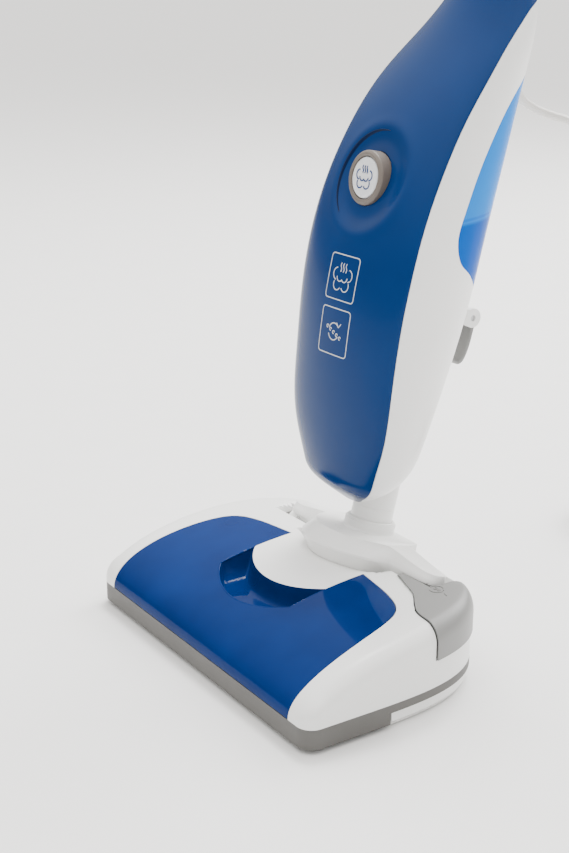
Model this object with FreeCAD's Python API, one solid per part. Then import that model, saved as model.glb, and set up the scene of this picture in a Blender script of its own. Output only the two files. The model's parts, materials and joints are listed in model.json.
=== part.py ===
"""Upright steam mop: sweeping head, leaning body, handle and mains cord.

Millimetres. +X is the user's right seen from the front, the front faces -Y, +Z is up.
The origin is the middle of the head's footprint, on the floor.
Everything above the hinge is drawn upright and then leaned back about the hinge by RECLINE.
"""
import FreeCAD
import Part
import math
import os

V = FreeCAD.Vector

# ---------------------------------------------------------------- head
HEAD_WIDTH = 300.0
HEAD_DEPTH = 188.0
HEAD_TOP = 68.5          # highest point of the head's cover
SEAM_Z = 19.0            # joint between the white cover and the grey chassis
SHELL_WALL = 2.5
FRONT_HEM_Z = 4.0        # underside of the chassis in front
REAR_HEM_Z = 12.6        # underside of the chassis above the pad plate
STEP_Y = -24.0           # where the deep front skirt ends
PLAN_CENTRE_Y = -60.0    # widest line of the head
PLAN_POWER = 3.65        # squareness of the rear corners
CORNER_R = 12.0
CREST_Y = 66.0           # line of the highest point
SHOULDER_R = 13.0
PANEL_GAP = 0.5          # gap between neighbouring outer panels
RUN_GAP = 0.05           # radial clearance of a shaft in its bearing
MOVE_GAP = 0.5           # clearance between bodies that move past each other
# ---------------------------------------------------------------- dust bin
BIN_HALF_FRONT = 126.0
BIN_HALF_REAR = 118.0
BIN_REAR_Y = 26.0
TONGUE_HALF = 48.5
TONGUE_SIDE_Y = -8.5
TONGUE_TIP_Y = -29.0
SCOOP_SIDE_Y = -40.0
SCOOP_FRONT_Y = -59.0
SCOOP_FLOOR_Z = 41.0
BIN_WALL = 2.0
BIN_FLOOR_Z = 23.0
BIN_PEG_R = 3.0          # pegs that hold the tray to its cover
BIN_PEG_INSET = 16.0     # from the tray's end to a peg's middle
TRAY_WALL_Z = 50.0       # top of the tray's walls
# ---------------------------------------------------------------- brush and drive
BRUSH_Y = -60.0
BRUSH_CORE_R = 9.0
BRUSH_R = 16.0
BRUSH_STRIPS = 6
BRUSH_GROUND_GAP = 0.6
BRUSH_PULLEY_R = 9.0
MOTOR_PULLEY_R = 6.0
AXLE_R = 3.0
BELT_WIDTH = 6.0
BELT_THICK = 1.4
MOTOR_R = 13.0
MOTOR_LEN = 62.0
MOTOR_RIGHT_X = -50.0    # the motor's end face nearest the middle
MOTOR_SHAFT_R = 2.0
MOTOR_Y = 36.0
MOTOR_Z = 35.0
# ---------------------------------------------------------------- pad and steam plate
PAD_THICK = 5.0
PAD_PLATE_THICK = 6.5
PAD_INSET = 3.0
STEAM_PLATE_THICK = 3.0
STEAM_PLATE_X = 150.0
STEAM_PLATE_Y = 62.0
NOZZLES = 7
NOZZLE_R = 1.5
SCREW_X = 70.0           # rear screws, left and right of the middle
SCREW_REAR_Y = 82.0
SCREW_FRONT_Y = -70.0
SCREW_FRONT_X = 140.5
SCREW_R = 1.6
SCREW_HEAD_R = 3.0
BOSS_R = 4.0
BOSS_GRIP = 9.0          # how far a screw reaches into its boss
WHEEL_R = 8.0
WHEEL_WIDTH = 8.0
WHEEL_Y = -38.0
# ---------------------------------------------------------------- pedal
PEDAL_WALL = 3.0
PEDAL_PROUD = 1.4
PEDAL_HEM_Z = 40.0
PEDAL_PIVOT_Y = 30.0
PEDAL_PIVOT_Z = 50.0
PEDAL_PIN_R = 2.0
PEDAL_SPRING_X = 112.0
PEDAL_SPRING_Y = 52.0
PEDAL_SPRING_R = 5.0
PEDAL_SEAT_Z = 42.0
# ---------------------------------------------------------------- hinge and neck
RECLINE = 14.5           # lean of the body as it stands, degrees
NECK_Y = 63.0            # where the neck's axis meets NECK_Z
NECK_Z = 64.0
HINGE_S = -8.0           # hinge line, measured up the neck's axis
HINGE_PIN_R = 4.0
EYE_R = 8.0
EYE_WIDTH = 11.0
EYE_X = 90.0
ARM_LOW_S = -0.6         # underside of the arms, just below the top of the eyes
ARM_FRONT_V = 11.0       # how far the yoke's arms stand in front of the neck's axis
COLLAR_TOP_R = 42.5
COLLAR_BASE_R = 52.0
COLLAR_TOP_S = 15.0
COLLAR_BASE_S = -8.0
COLLAR_REAR_V = 21.0
NECK_R = 16.5
NECK_WALL = 2.5
NECK_END_S = 96.0        # top of the neck, inside the body
SOCKET_TOP_S = 24.0
# ---------------------------------------------------------------- body
BODY_HALF = 65.0
BODY_WALL = 2.6
BODY_START_S = 38.0
BODY_END_S = 500.0
SOCKET_R = 17.0
# height up the axis, front v, seam v, share of BODY_HALF, rear v
BODY_STATIONS = (
    (38.0, -27.0, -23.0, 0.14, -17.0),
    (46.0, -43.0, -36.0, 0.46, -6.0),
    (60.0, -54.0, -43.0, 0.68, 10.0),
    (90.0, -63.0, -51.0, 0.86, 20.0),
    (140.0, -73.0, -60.0, 0.94, 27.0),
    (200.0, -79.0, -67.0, 0.985, 33.0),
    (260.0, -78.0, -66.0, 1.0, 33.0),
    (320.0, -67.0, -53.0, 0.965, 33.0),
    (370.0, -48.0, -31.0, 0.88, 32.0),
    (410.0, -31.0, -5.0, 0.71, 31.0),
    (440.0, -22.0, 4.0, 0.52, 27.0),
    (470.0, -18.5, 1.5, 0.35, 21.0),
)
SEAM_LOW = (-21.0, 30.0)
SEAM_HIGH = ((13.0, 428.0), (45.0, 446.0))
BUTTON_S = 279.0
BUTTON_R = 15.0
BUTTON_RING_R = 20.0
BUTTON_TILT = 4.0        # the button's face looks this much below the body's normal, degrees
LENS_R = 32.0
LENS_WIDTH = 2.2
# ---------------------------------------------------------------- water tank
TANK_EDGE = (
    (60.0, 196.0),
    (33.0, 209.0),
    (0.0, 225.5),
    (-20.0, 234.0),
    (-30.0, 250.0),
    (-28.5, 272.0),
    (-22.0, 306.0),
    (-10.0, 340.0),
    (4.0, 363.0),
    (22.0, 379.0),
    (60.0, 396.0),
)
TANK_WALL = 2.0
TANK_PIVOT = (34.0, 212.0)
CAP_V = -6.0
CAP_R = 11.6
CAP_LOW_S = 211.5        # underside of the cap
CAP_HEIGHT = 9.5
SEAL_THICK = 1.2
FILL_R = 8.0
# ---------------------------------------------------------------- cord hooks
HOOK_S = 192.0
HOOK_V = 33.5
HOOK_HALF = 10.0
HOOK_BOSS_R = 7.5
HOOK_PIN_R = 2.5
HOOK_THICK = 6.0
HOOK_DROP = 40.0
# ---------------------------------------------------------------- handle
TUBE_R = 13.0
TUBE_WALL = 1.5
TUBE_END_S = 940.0
GRIP_START_S = 900.0
GRIP_LEN = 190.0
GRIP_R = 17.0
LOOP_DEPTH = 62.0
UPPER_HOOK_S = 860.0
# ---------------------------------------------------------------- mains cord
CORD_D = 7.0
RELIEF_BASE_R = 7.5
RELIEF_LEN = 38.0
RELIEF_SUNK = 10.0       # how far the strain relief reaches into the body
COIL_X = -30.0
COIL_Y = 396.0
COIL_TURN_R = 38.0       # middle of the turns
COIL_COLUMNS = 5
COIL_ROWS = 5
TIE_THICK = 1.2
TIE_WIDTH = 12.0
PLUG_R = 13.0
PLUG_LEN = 34.0
PLUG_TAIL = 24.0
PLUG_FLAT = 7.5          # half its thickness as it lies
PIN_PITCH = 19.0
PIN_R = 2.4
# from the strain relief outwards, then down to the coil on the floor
CORD_POINTS = (
    (-20.0, 186.0, 446.0),
    (-27.0, 212.0, 436.0),
    (-40.0, 231.0, 418.0),
    (-54.0, 251.0, 396.0),
    (-63.0, 276.0, 385.5),
    (-68.0, 300.0, 378.0),
    (-73.0, 326.0, 372.0),
    (-77.0, 352.0, 362.0),
    (-80.0, 376.0, 345.0),
    (-83.0, 395.0, 320.0),
    (-85.0, 408.0, 286.0),
    (-86.0, 416.0, 244.0),
    (-87.0, 421.0, 200.0),
    (-87.0, 424.5, 156.0),
    (-86.5, 426.0, 116.0),
    (-85.5, 425.0, 84.0),
    (-84.5, 417.0, 60.0),
    (-83.5, 402.0, 43.0),
    (-82.0, 382.0, 34.0),
)


def box(x0, x1, y0, y1, z0, z1):
    """A block between two corners."""
    return Part.makeBox(x1 - x0, y1 - y0, z1 - z0, V(x0, y0, z0))


def rod(x0, x1, y, z, r):
    """A cylinder along X."""
    return Part.makeCylinder(r, x1 - x0, V(x0, y, z), V(1, 0, 0))


def tube_x(x0, x1, y, z, r_out, r_in):
    """A bush along X."""
    return rod(x0, x1, y, z, r_out).cut(rod(x0 - 1, x1 + 1, y, z, r_in))


def post(x, y, z0, z1, r):
    """A cylinder along Z."""
    return Part.makeCylinder(r, z1 - z0, V(x, y, z0), V(0, 0, 1))


def spline(points):
    """A smooth curve through points."""
    curve = Part.BSplineCurve()
    curve.interpolate(points)
    return curve.toShape()


def prism(edges, direction):
    """The closed outline carried along direction."""
    return Part.Face(Part.Wire(Part.__sortEdges__(edges))).extrude(direction)


def polygon_x(points, x0, x1):
    """A prism along X whose outline is given as (y, z)."""
    ring = [V(x0, y, z) for y, z in points]
    return Part.Face(Part.makePolygon(ring + ring[:1])).extrude(V(x1 - x0, 0, 0))


def lean(shape):
    """From the upright drawing to the standing pose."""
    moved = shape.copy()
    turn = FreeCAD.Rotation(V(1, 0, 0), -RECLINE)
    moved.Placement = FreeCAD.Placement(V(0, NECK_Y, NECK_Z), turn).multiply(moved.Placement)
    return moved


def save(name, *shapes):
    """Write one node as a STEP file."""
    solids = [solid for shape in shapes for solid in shape.Solids]
    shape = solids[0] if len(solids) == 1 else Part.makeCompound(solids)
    if not shape.isValid():
        print("INVALID", name)
    shape.exportStep("parts/" + name + ".step")
    print(name, len(solids), "solids", round(shape.Volume / 1000, 2), "cm3")


# ================================================================ head surfaces
REAR_Y = HEAD_DEPTH / 2
FRONT_Y = -HEAD_DEPTH / 2
HALF = HEAD_WIDTH / 2


def plan_half(y, inset=0.0):
    """Half width of the head at y: straight in front, a superellipse behind PLAN_CENTRE_Y."""
    if y <= PLAN_CENTRE_Y:
        return HALF - inset
    share = (y - PLAN_CENTRE_Y) / (REAR_Y - inset - PLAN_CENTRE_Y)
    return (HALF - inset) * max(0.0, 1 - share ** PLAN_POWER) ** (1 / PLAN_POWER)


def crown_z(y, inset=0.0):
    """Height of the head's centre line: a superellipse rising from the front seam to the crest."""
    if y <= CREST_Y:
        share, power = (CREST_Y - y) / (CREST_Y - FRONT_Y - inset), 2.1
    else:
        share, power = (y - CREST_Y) / (REAR_Y - inset - CREST_Y), 2.6
    rise = HEAD_TOP - SEAM_Z - inset
    return SEAM_Z + rise * max(0.0, 1 - share ** power) ** (1 / power)


def plan_prism(inset, z0, z1, y0=None):
    """The head's plan outline from z0 to z1, or the part of it behind y0."""
    front = FRONT_Y + inset
    corner = max(CORNER_R - inset, 1.0)
    half = HALF - inset
    start = PLAN_CENTRE_Y
    if y0 is not None and y0 > PLAN_CENTRE_Y:
        start = y0
    reach = REAR_Y - inset - PLAN_CENTRE_Y
    low = math.acos(min(1.0, ((start - PLAN_CENTRE_Y) / reach) ** (PLAN_POWER / 2)))
    steps = 18
    side = []
    for k in range(steps + 1):
        a = low * (1 - k / steps)
        b = math.cos(a) ** (2 / PLAN_POWER)
        side.append(V(half * math.sin(a) ** (2 / PLAN_POWER), PLAN_CENTRE_Y + reach * b, z0))
    rear = side + [V(-p.x, p.y, z0) for p in reversed(side[:-1])]
    edges = [spline(rear)]
    first, last = rear[0], rear[-1]
    if y0 is not None and y0 > PLAN_CENTRE_Y:
        edges.append(Part.makeLine(last, first))
    else:
        stop = front if y0 is None else y0
        if y0 is None:
            a, b = V(half, stop + corner, z0), V(-half, stop + corner, z0)
            a2, b2 = V(half - corner, stop, z0), V(-half + corner, stop, z0)
            d = corner * (1 - math.sqrt(0.5))
            edges.append(Part.Arc(a, V(half - d, stop + d, z0), a2).toShape())
            edges.append(Part.Arc(b, V(-half + d, stop + d, z0), b2).toShape())
        else:
            a = a2 = V(half, stop, z0)
            b = b2 = V(-half, stop, z0)
        edges.append(Part.makeLine(first, a))
        edges.append(Part.makeLine(a2, b2))
        edges.append(Part.makeLine(b, last))
    return prism(edges, V(0, 0, z1 - z0))


def head_section(y, inset):
    """One upright section of the head's cover: sides, rounded shoulders and a crowned top."""
    half = plan_half(y, inset)
    top = crown_z(y, inset)
    height = top - SEAM_Z
    r = min(SHOULDER_R - inset * 0.5, height * 0.55, half * 0.4)
    d = r * (1 - math.sqrt(0.5))
    side_top = top - 0.03 * height
    a, b = V(half, y, SEAM_Z), V(half, y, side_top - r)
    c = V(half - r, y, side_top)
    mid = V(half - d, y, side_top - d)
    edges = [
        Part.makeLine(a, b),
        Part.Arc(b, mid, c).toShape(),
        Part.Arc(c, V(0, y, top), V(-c.x, y, c.z)).toShape(),
        Part.Arc(V(-c.x, y, c.z), V(-mid.x, y, mid.z), V(-b.x, y, b.z)).toShape(),
        Part.makeLine(V(-b.x, y, b.z), V(-a.x, y, a.z)),
        Part.makeLine(V(-a.x, y, a.z), a),
    ]
    return Part.Wire(edges)


def head_solid(inset):
    """The whole head above the seam, inset all round."""
    front, rear = FRONT_Y + inset, REAR_Y - inset
    shares = (0.0, 0.03, 0.09, 0.2, 0.36, 0.55, 0.78, 1.0)
    ys = [front + 0.35 + (CREST_Y - front - 0.35) * k for k in shares]
    ys += [CREST_Y + (rear - CREST_Y) * k for k in (0.4, 0.72, 0.96)]
    solid = Part.makeLoft([head_section(y, inset) for y in ys], True, False)
    return solid.common(plan_prism(inset, SEAM_Z, HEAD_TOP + 20))


def bin_outline(grow):
    """The dust bin cover's outline in plan, with its scoop corner cut round the tongue."""
    half_front, half_rear = BIN_HALF_FRONT + grow, BIN_HALF_REAR + grow
    rear = BIN_REAR_Y + grow
    side_pts = [
        V(half_front, FRONT_Y - 20, 0),
        V(half_front + 1.5, FRONT_Y + 16, 0),
        V(half_front - 1.5, FRONT_Y + 54, 0),
        V(half_rear, rear - 33, 0),
        V(half_rear - 10, rear - 15, 0),
        V(half_rear - 31, rear - 6, 0),
        V(TONGUE_HALF - grow, rear, 0),
    ]
    right = spline(side_pts)
    left = spline([V(-p.x, p.y, 0) for p in side_pts])
    tongue = TONGUE_HALF - grow
    side_y, tip_y = TONGUE_SIDE_Y + grow, TONGUE_TIP_Y + grow
    edges = [
        Part.makeLine(V(-half_front, FRONT_Y - 20, 0), V(half_front, FRONT_Y - 20, 0)),
        right,
        left,
        Part.makeLine(V(tongue, rear, 0), V(tongue, side_y, 0)),
        Part.makeLine(V(-tongue, rear, 0), V(-tongue, side_y, 0)),
        Part.Arc(V(tongue, side_y, 0), V(0, tip_y, 0), V(-tongue, side_y, 0)).toShape(),
    ]
    return prism(edges, V(0, 0, HEAD_TOP + 30))


def scoop_outline(grow, z0, z1):
    """The finger scoop's outline: straight sides, a round front and the tongue's arc behind."""
    half = TONGUE_HALF + grow
    side, front = SCOOP_SIDE_Y, SCOOP_FRONT_Y - grow
    back_side, back_tip = TONGUE_SIDE_Y + grow, TONGUE_TIP_Y + grow
    edges = [
        Part.Arc(V(half, side, z0), V(0, front, z0), V(-half, side, z0)).toShape(),
        Part.makeLine(V(-half, side, z0), V(-half, back_side, z0)),
        Part.Arc(V(-half, back_side, z0), V(0, back_tip, z0), V(half, back_side, z0)).toShape(),
        Part.makeLine(V(half, back_side, z0), V(half, side, z0)),
    ]
    return prism(edges, V(0, 0, z1 - z0))


def hinge_point():
    """The hinge line's place in the standing frame."""
    a = math.radians(RECLINE)
    return NECK_Y + HINGE_S * math.sin(a), NECK_Z + HINGE_S * math.cos(a)


def pedal_prism(grow, z0, z1):
    """The pedal's outline in plan: from a pointed tip inside to beyond the head's corner."""
    pts = [
        V(66 - grow, 47, z0),
        V(84, 39 - grow, z0),
        V(99, 34 - grow, z0),
        V(112, 25 - grow, z0),
        V(126, 19 - grow, z0),
        V(HALF + 12, 18 - grow, z0),
    ]
    outer = [
        V(HALF + 12, REAR_Y + 10, z0),
        V(100, REAR_Y + 10, z0),
    ]
    inner = [
        V(100, 76 + grow, z0),
        V(82, 70 + grow, z0),
        V(66 - grow, 58 + grow, z0),
        V(66 - grow, 47, z0),
    ]
    edges = [spline(pts)]
    chain = [pts[-1]] + outer + inner
    for a, b in zip(chain, chain[1:]):
        edges.append(Part.makeLine(a, b))
    return prism(edges, V(0, 0, z1 - z0))


def screw_places():
    """Where each chassis screw stands: x, y and the height of the chassis floor's top there."""
    front_z, rear_z = FRONT_HEM_Z + SHELL_WALL, REAR_HEM_Z + SHELL_WALL
    front = [(side * SCREW_FRONT_X, SCREW_FRONT_Y, front_z) for side in (-1, 1)]
    return front + [(side * SCREW_X, SCREW_REAR_Y, rear_z) for side in (-1, 1)]


def make_head():
    """Chassis, covers, dust bin and everything fixed in the head."""
    hinge_y, hinge_z = hinge_point()
    outer = head_solid(0.0)
    inner = head_solid(SHELL_WALL)
    skin = outer.cut(inner)
    window = bin_outline(0.0)
    opening = bin_outline(PANEL_GAP)
    low, high = BIN_FLOOR_Z, HEAD_TOP + 30
    scoop_out = scoop_outline(0.0, SCOOP_FLOOR_Z - BIN_WALL, high)
    scoop_in = scoop_outline(-BIN_WALL, SCOOP_FLOOR_Z, high)

    # the bin's cover with its finger scoop
    cup = scoop_out.cut(scoop_in).common(outer)
    cover = skin.common(window).cut(scoop_outline(0.0, low, high)).fuse(cup)
    cover = cover.cut(box(-HALF, HALF, FRONT_Y - 30, FRONT_Y + 30, 0, SEAM_Z + PANEL_GAP))
    save("bin_cover", cover.removeSplitter())

    # the tray: an open channel that passes over the brush
    half = BIN_HALF_REAR - 2.5
    brush_top = BRUSH_GROUND_GAP + 2 * BRUSH_R + 1.5
    back = BIN_REAR_Y - 8
    rise_y = BRUSH_Y + BRUSH_R + 6
    lip_y = FRONT_Y + 14
    under = [
        (lip_y, brush_top),
        (rise_y - 4, brush_top),
        (rise_y, BIN_FLOOR_Z),
        (back, BIN_FLOOR_Z),
        (back, TRAY_WALL_Z),
        (back - BIN_WALL, TRAY_WALL_Z),
        (back - BIN_WALL, BIN_FLOOR_Z + BIN_WALL),
        (rise_y + BIN_WALL, BIN_FLOOR_Z + BIN_WALL),
        (rise_y - 4 + BIN_WALL, brush_top + BIN_WALL),
        (lip_y, brush_top + BIN_WALL),
    ]
    edge = bin_outline(-PANEL_GAP)
    inside = bin_outline(-PANEL_GAP - BIN_WALL)
    wall = edge.common(box(-half, half, rise_y + 1, back, BIN_FLOOR_Z + 1, TRAY_WALL_Z))
    room = box(BIN_WALL - half, half - BIN_WALL, rise_y, back - BIN_WALL, BIN_FLOOR_Z, HEAD_TOP)
    wall = wall.cut(inside.common(room))
    tray = polygon_x(under, -half, half).common(edge).fuse(wall)
    end = [
        (lip_y + 4, brush_top + BIN_WALL / 2),
        (rise_y - 4, brush_top + BIN_WALL / 2),
        (rise_y + 3, BIN_FLOOR_Z + 1),
        (rise_y + 3, TRAY_WALL_Z),
        (FRONT_Y + 34, 44),
    ]
    for x in (-half, half - BIN_WALL):
        tray = tray.fuse(polygon_x(end, x, x + BIN_WALL))
    tray = tray.cut(scoop_outline(PANEL_GAP, SCOOP_FLOOR_Z - BIN_WALL - PANEL_GAP, high))
    peg_y = back - BIN_WALL - 2 * BIN_PEG_R
    peg_x = half - BIN_PEG_INSET
    for x in (-peg_x, peg_x):
        tray = tray.fuse(post(x, peg_y, BIN_FLOOR_Z + 1, crown_z(peg_y, SHELL_WALL), BIN_PEG_R))
    save("bin_tray", tray.removeSplitter())

    # white cover: window, hinge slots, collar well and pedal opening removed
    shell = skin.cut(opening)
    well = Part.makeCylinder(COLLAR_BASE_R + 3, 60, V(0, 0, -22), V(0, 0, 1))
    well = well.common(box(-80, 80, -80, COLLAR_REAR_V + 3, -22, 60))
    slot = box(-NECK_R - 4, NECK_R + 4, 0, 60, -14, 60)
    shell = shell.cut(lean(well)).cut(lean(slot))
    swing = rod(-COLLAR_BASE_R - 4, COLLAR_BASE_R + 4, hinge_y, hinge_z, COLLAR_REAR_V + 8)
    shell = shell.cut(swing)
    hinge_room = []
    for side in (-1, 1):
        middle = side * EYE_X
        ear = rod(middle - EYE_WIDTH / 2 - 2, middle + EYE_WIDTH / 2 + 2, hinge_y, hinge_z, 27)
        outside = middle + side * (EYE_WIDTH / 2 + 2)
        arm = rod(min(0, outside), max(0, outside), hinge_y, hinge_z + 10, 20)
        keep = lean(box(-HALF, HALF, -13, 80, -30, 60))
        hinge_room += [ear.common(keep), arm.common(keep)]
    shell = shell.cut(hinge_room)
    shell = shell.cut(pedal_prism(1.2, PEDAL_HEM_Z - 8, high).common(
        box(60, HALF - 8, -20, REAR_Y + 5, PEDAL_HEM_Z - 8, high)))
    shell = shell.cut(pedal_prism(1.2, PEDAL_HEM_Z - 0.5, high))
    for x, y, z in screw_places():
        boss = post(x, y, z, SEAM_Z + 1, BOSS_R).fuse(post(x, y, SEAM_Z, high, BOSS_R).common(outer))
        boss = boss.cut(post(x, y, z - 1, z + BOSS_GRIP, SCREW_R)).cut(hinge_room)
        shell = shell.fuse(boss)
    shell = max(shell.Solids, key=lambda s: s.Volume)
    save("head_shell", shell)

    # grey chassis: deep skirt in front, thin rim behind
    floor_t = SHELL_WALL
    body = plan_prism(0.0, FRONT_HEM_Z, SEAM_Z - 0.2)
    body = body.cut(plan_prism(-5.0, FRONT_HEM_Z - 1, REAR_HEM_Z, STEP_Y))
    hollow_front = plan_prism(SHELL_WALL, FRONT_HEM_Z + floor_t, SEAM_Z + 1).common(
        box(-HALF, HALF, FRONT_Y, STEP_Y - SHELL_WALL, 0, 40))
    hollow_rear = plan_prism(SHELL_WALL, REAR_HEM_Z + floor_t, SEAM_Z + 1)
    chassis = body.cut(hollow_front).cut(hollow_rear)
    brush_half = BIN_HALF_REAR + 1
    mouth = box(-brush_half, brush_half, BRUSH_Y - BRUSH_R - 3, BRUSH_Y + BRUSH_R + 3, 0, 60)
    chassis = chassis.cut(mouth)
    belt_x = -(brush_half + 9)
    chassis = chassis.cut(box(belt_x - 5, belt_x + 5, BRUSH_Y - 15, MOTOR_Y + 9, FRONT_HEM_Z + 1, 60))
    brush_z = BRUSH_GROUND_GAP + BRUSH_R
    for side in (-1, 1):
        # bearing blocks at the brush's ends, outside the belt on the left
        x = side * (brush_half + 2.5)
        block = box(x - 2, x + 2, BRUSH_Y - 8, BRUSH_Y + 8, FRONT_HEM_Z, brush_z + 7)
        block = block.cut(rod(x - 5, x + 5, BRUSH_Y, brush_z, AXLE_R + 2))
        chassis = chassis.fuse(block)
        # wheel wells
        wx = side * (HALF - 9)
        well = box(wx - WHEEL_WIDTH / 2 - 0.6, wx + WHEEL_WIDTH / 2 + 0.6,
                   WHEEL_Y - WHEEL_R - 1, WHEEL_Y + WHEEL_R + 1, 0, WHEEL_R * 2 + 2)
        chassis = chassis.cut(well)
        for edge in (-1, 1):
            cheek_x = wx + edge * (WHEEL_WIDTH / 2 + 0.6)
            low_x, high_x = min(cheek_x, cheek_x + edge * 1.6), max(cheek_x, cheek_x + edge * 1.6)
            cheek = box(low_x, high_x, WHEEL_Y - 5, WHEEL_Y + 5, FRONT_HEM_Z, WHEEL_R + 5)
            chassis = chassis.fuse(cheek)
        # hinge pillars
        px = side * (EYE_X + EYE_WIDTH / 2 + MOVE_GAP)
        low_x, high_x = min(px, px + side * 7), max(px, px + side * 7)
        pillar = box(low_x, high_x, hinge_y - 7, hinge_y + 7, REAR_HEM_Z, hinge_z + 5)
        chassis = chassis.fuse(pillar)
    for side in (-1, 1):
        wx = side * (HALF - 9)
        reach = WHEEL_WIDTH / 2 + 2.2
        chassis = chassis.cut(rod(wx - reach, wx + reach, WHEEL_Y, WHEEL_R, 1.5))
        px = side * (EYE_X + EYE_WIDTH / 2)
        low_x, high_x = min(px, px + side * 9), max(px, px + side * 9)
        chassis = chassis.cut(rod(low_x, high_x, hinge_y, hinge_z, HINGE_PIN_R))
    # motor cradle
    cradle = box(MOTOR_RIGHT_X - MOTOR_LEN + 2, MOTOR_RIGHT_X - 2, MOTOR_Y - MOTOR_R + 2,
                 MOTOR_Y + MOTOR_R - 2, REAR_HEM_Z, MOTOR_Z - 6)
    cradle = cradle.cut(rod(-HALF, 0, MOTOR_Y, MOTOR_Z, MOTOR_R))
    pivot = box(86, 92, PEDAL_PIVOT_Y - 5, PEDAL_PIVOT_Y + 5, REAR_HEM_Z, PEDAL_PIVOT_Z + 4)
    seat = post(PEDAL_SPRING_X, PEDAL_SPRING_Y, REAR_HEM_Z, PEDAL_SEAT_Z, PEDAL_SPRING_R + 1.5)
    chassis = chassis.fuse(cradle).fuse(pivot).fuse(seat)
    chassis = chassis.cut(rod(85, 93, PEDAL_PIVOT_Y, PEDAL_PIVOT_Z, PEDAL_PIN_R))
    sink = SHELL_WALL * 0.6
    screws = []
    for x, y, z in screw_places():
        hem = z - SHELL_WALL
        chassis = chassis.cut(post(x, y, hem - 1, z, SCREW_R)).cut(post(x, y, hem - 1, hem + sink, SCREW_HEAD_R))
        screws.append(post(x, y, hem, z + BOSS_GRIP, SCREW_R).fuse(post(x, y, hem, hem + sink, SCREW_HEAD_R)))
    save("chassis", chassis.removeSplitter())
    save("chassis_screws", *screws)
    pins = []
    for side in (-1, 1):
        px = side * (EYE_X - EYE_WIDTH / 2)
        qx = side * (EYE_X + EYE_WIDTH / 2 + MOVE_GAP + 7)
        pins.append(rod(min(px, qx), max(px, qx), hinge_y, hinge_z, HINGE_PIN_R))
    save("hinge_pins", *pins)
    return brush_half, brush_z, belt_x, hinge_y, hinge_z


def make_brush(brush_half, brush_z, belt_x):
    """Brush roller with its bristle strips, bearings, belt, motor and pulleys."""
    core = rod(-brush_half + 1, brush_half - 1, BRUSH_Y, brush_z, BRUSH_CORE_R)
    core = core.fuse(rod(belt_x - 3.5, brush_half + 5, BRUSH_Y, brush_z, AXLE_R))
    save("brush_core", core)
    strips = []
    for k in range(BRUSH_STRIPS):
        blade = box(-brush_half + 3, brush_half - 3, BRUSH_Y - 1.4, BRUSH_Y + 1.4,
                    brush_z + BRUSH_CORE_R, brush_z + BRUSH_R)
        blade.rotate(V(0, BRUSH_Y, brush_z), V(1, 0, 0), 360.0 * k / BRUSH_STRIPS + 30)
        strips.append(blade.cut(rod(-HALF, HALF, BRUSH_Y, brush_z, BRUSH_CORE_R)))
    save("brush_strips", *strips)
    bushes = []
    for side in (-1, 1):
        x = side * (brush_half + 2.5)
        bushes.append(tube_x(x - 2, x + 2, BRUSH_Y, brush_z, AXLE_R + 2, AXLE_R + RUN_GAP))
    save("brush_bearings", *bushes)
    half = BELT_WIDTH / 2
    pulley = rod(belt_x - half, belt_x + half, BRUSH_Y, brush_z, BRUSH_PULLEY_R)
    pulley = pulley.cut(rod(belt_x - 9, belt_x + 9, BRUSH_Y, brush_z, AXLE_R))
    save("brush_pulley", pulley)
    small = rod(belt_x - half, belt_x + half, MOTOR_Y, MOTOR_Z, MOTOR_PULLEY_R)
    small = small.cut(rod(belt_x - 9, belt_x + 9, MOTOR_Y, MOTOR_Z, MOTOR_SHAFT_R))
    save("motor_pulley", small)
    motor_x0 = MOTOR_RIGHT_X - MOTOR_LEN
    shaft = rod(belt_x - half - 1, motor_x0 + 8, MOTOR_Y, MOTOR_Z, MOTOR_SHAFT_R)
    save("motor_shaft", shaft)
    motor = rod(motor_x0, MOTOR_RIGHT_X, MOTOR_Y, MOTOR_Z, MOTOR_R)
    motor = motor.fuse(rod(motor_x0 - 4, motor_x0, MOTOR_Y, MOTOR_Z, 6))
    motor = motor.cut(rod(motor_x0 - 6, motor_x0 + 9, MOTOR_Y, MOTOR_Z, MOTOR_SHAFT_R + RUN_GAP))
    save("brush_motor", motor)
    # the belt: a loop at a fixed gap round both pulleys
    gap = MOVE_GAP * 0.6
    span = math.hypot(MOTOR_Y - BRUSH_Y, MOTOR_Z - brush_z)
    tilt = math.atan2(MOTOR_Z - brush_z, MOTOR_Y - BRUSH_Y)

    def loop(extra):
        """The outline round both pulleys, grown by extra."""
        big, little = BRUSH_PULLEY_R + extra, MOTOR_PULLEY_R + extra
        lean_in = math.acos((big - little) / span)
        points = []
        for centre, r, sign in (((BRUSH_Y, brush_z), big, 1), ((MOTOR_Y, MOTOR_Z), little, -1)):
            for way in (1, -1):
                a = tilt + way * lean_in
                points.append((centre[0] + r * math.cos(a), centre[1] + r * math.sin(a)))
        x = belt_x - half
        p = [V(x, y, z) for y, z in points]
        far_big = V(x, BRUSH_Y - big * math.cos(tilt), brush_z - big * math.sin(tilt))
        far_small = V(x, MOTOR_Y + little * math.cos(tilt), MOTOR_Z + little * math.sin(tilt))
        edges = [
            Part.Arc(p[0], far_big, p[1]).toShape(),
            Part.makeLine(p[1], p[3]),
            Part.Arc(p[3], far_small, p[2]).toShape(),
            Part.makeLine(p[2], p[0]),
        ]
        return prism(edges, V(BELT_WIDTH, 0, 0))

    save("drive_belt", loop(gap + BELT_THICK).cut(loop(gap)))


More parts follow.
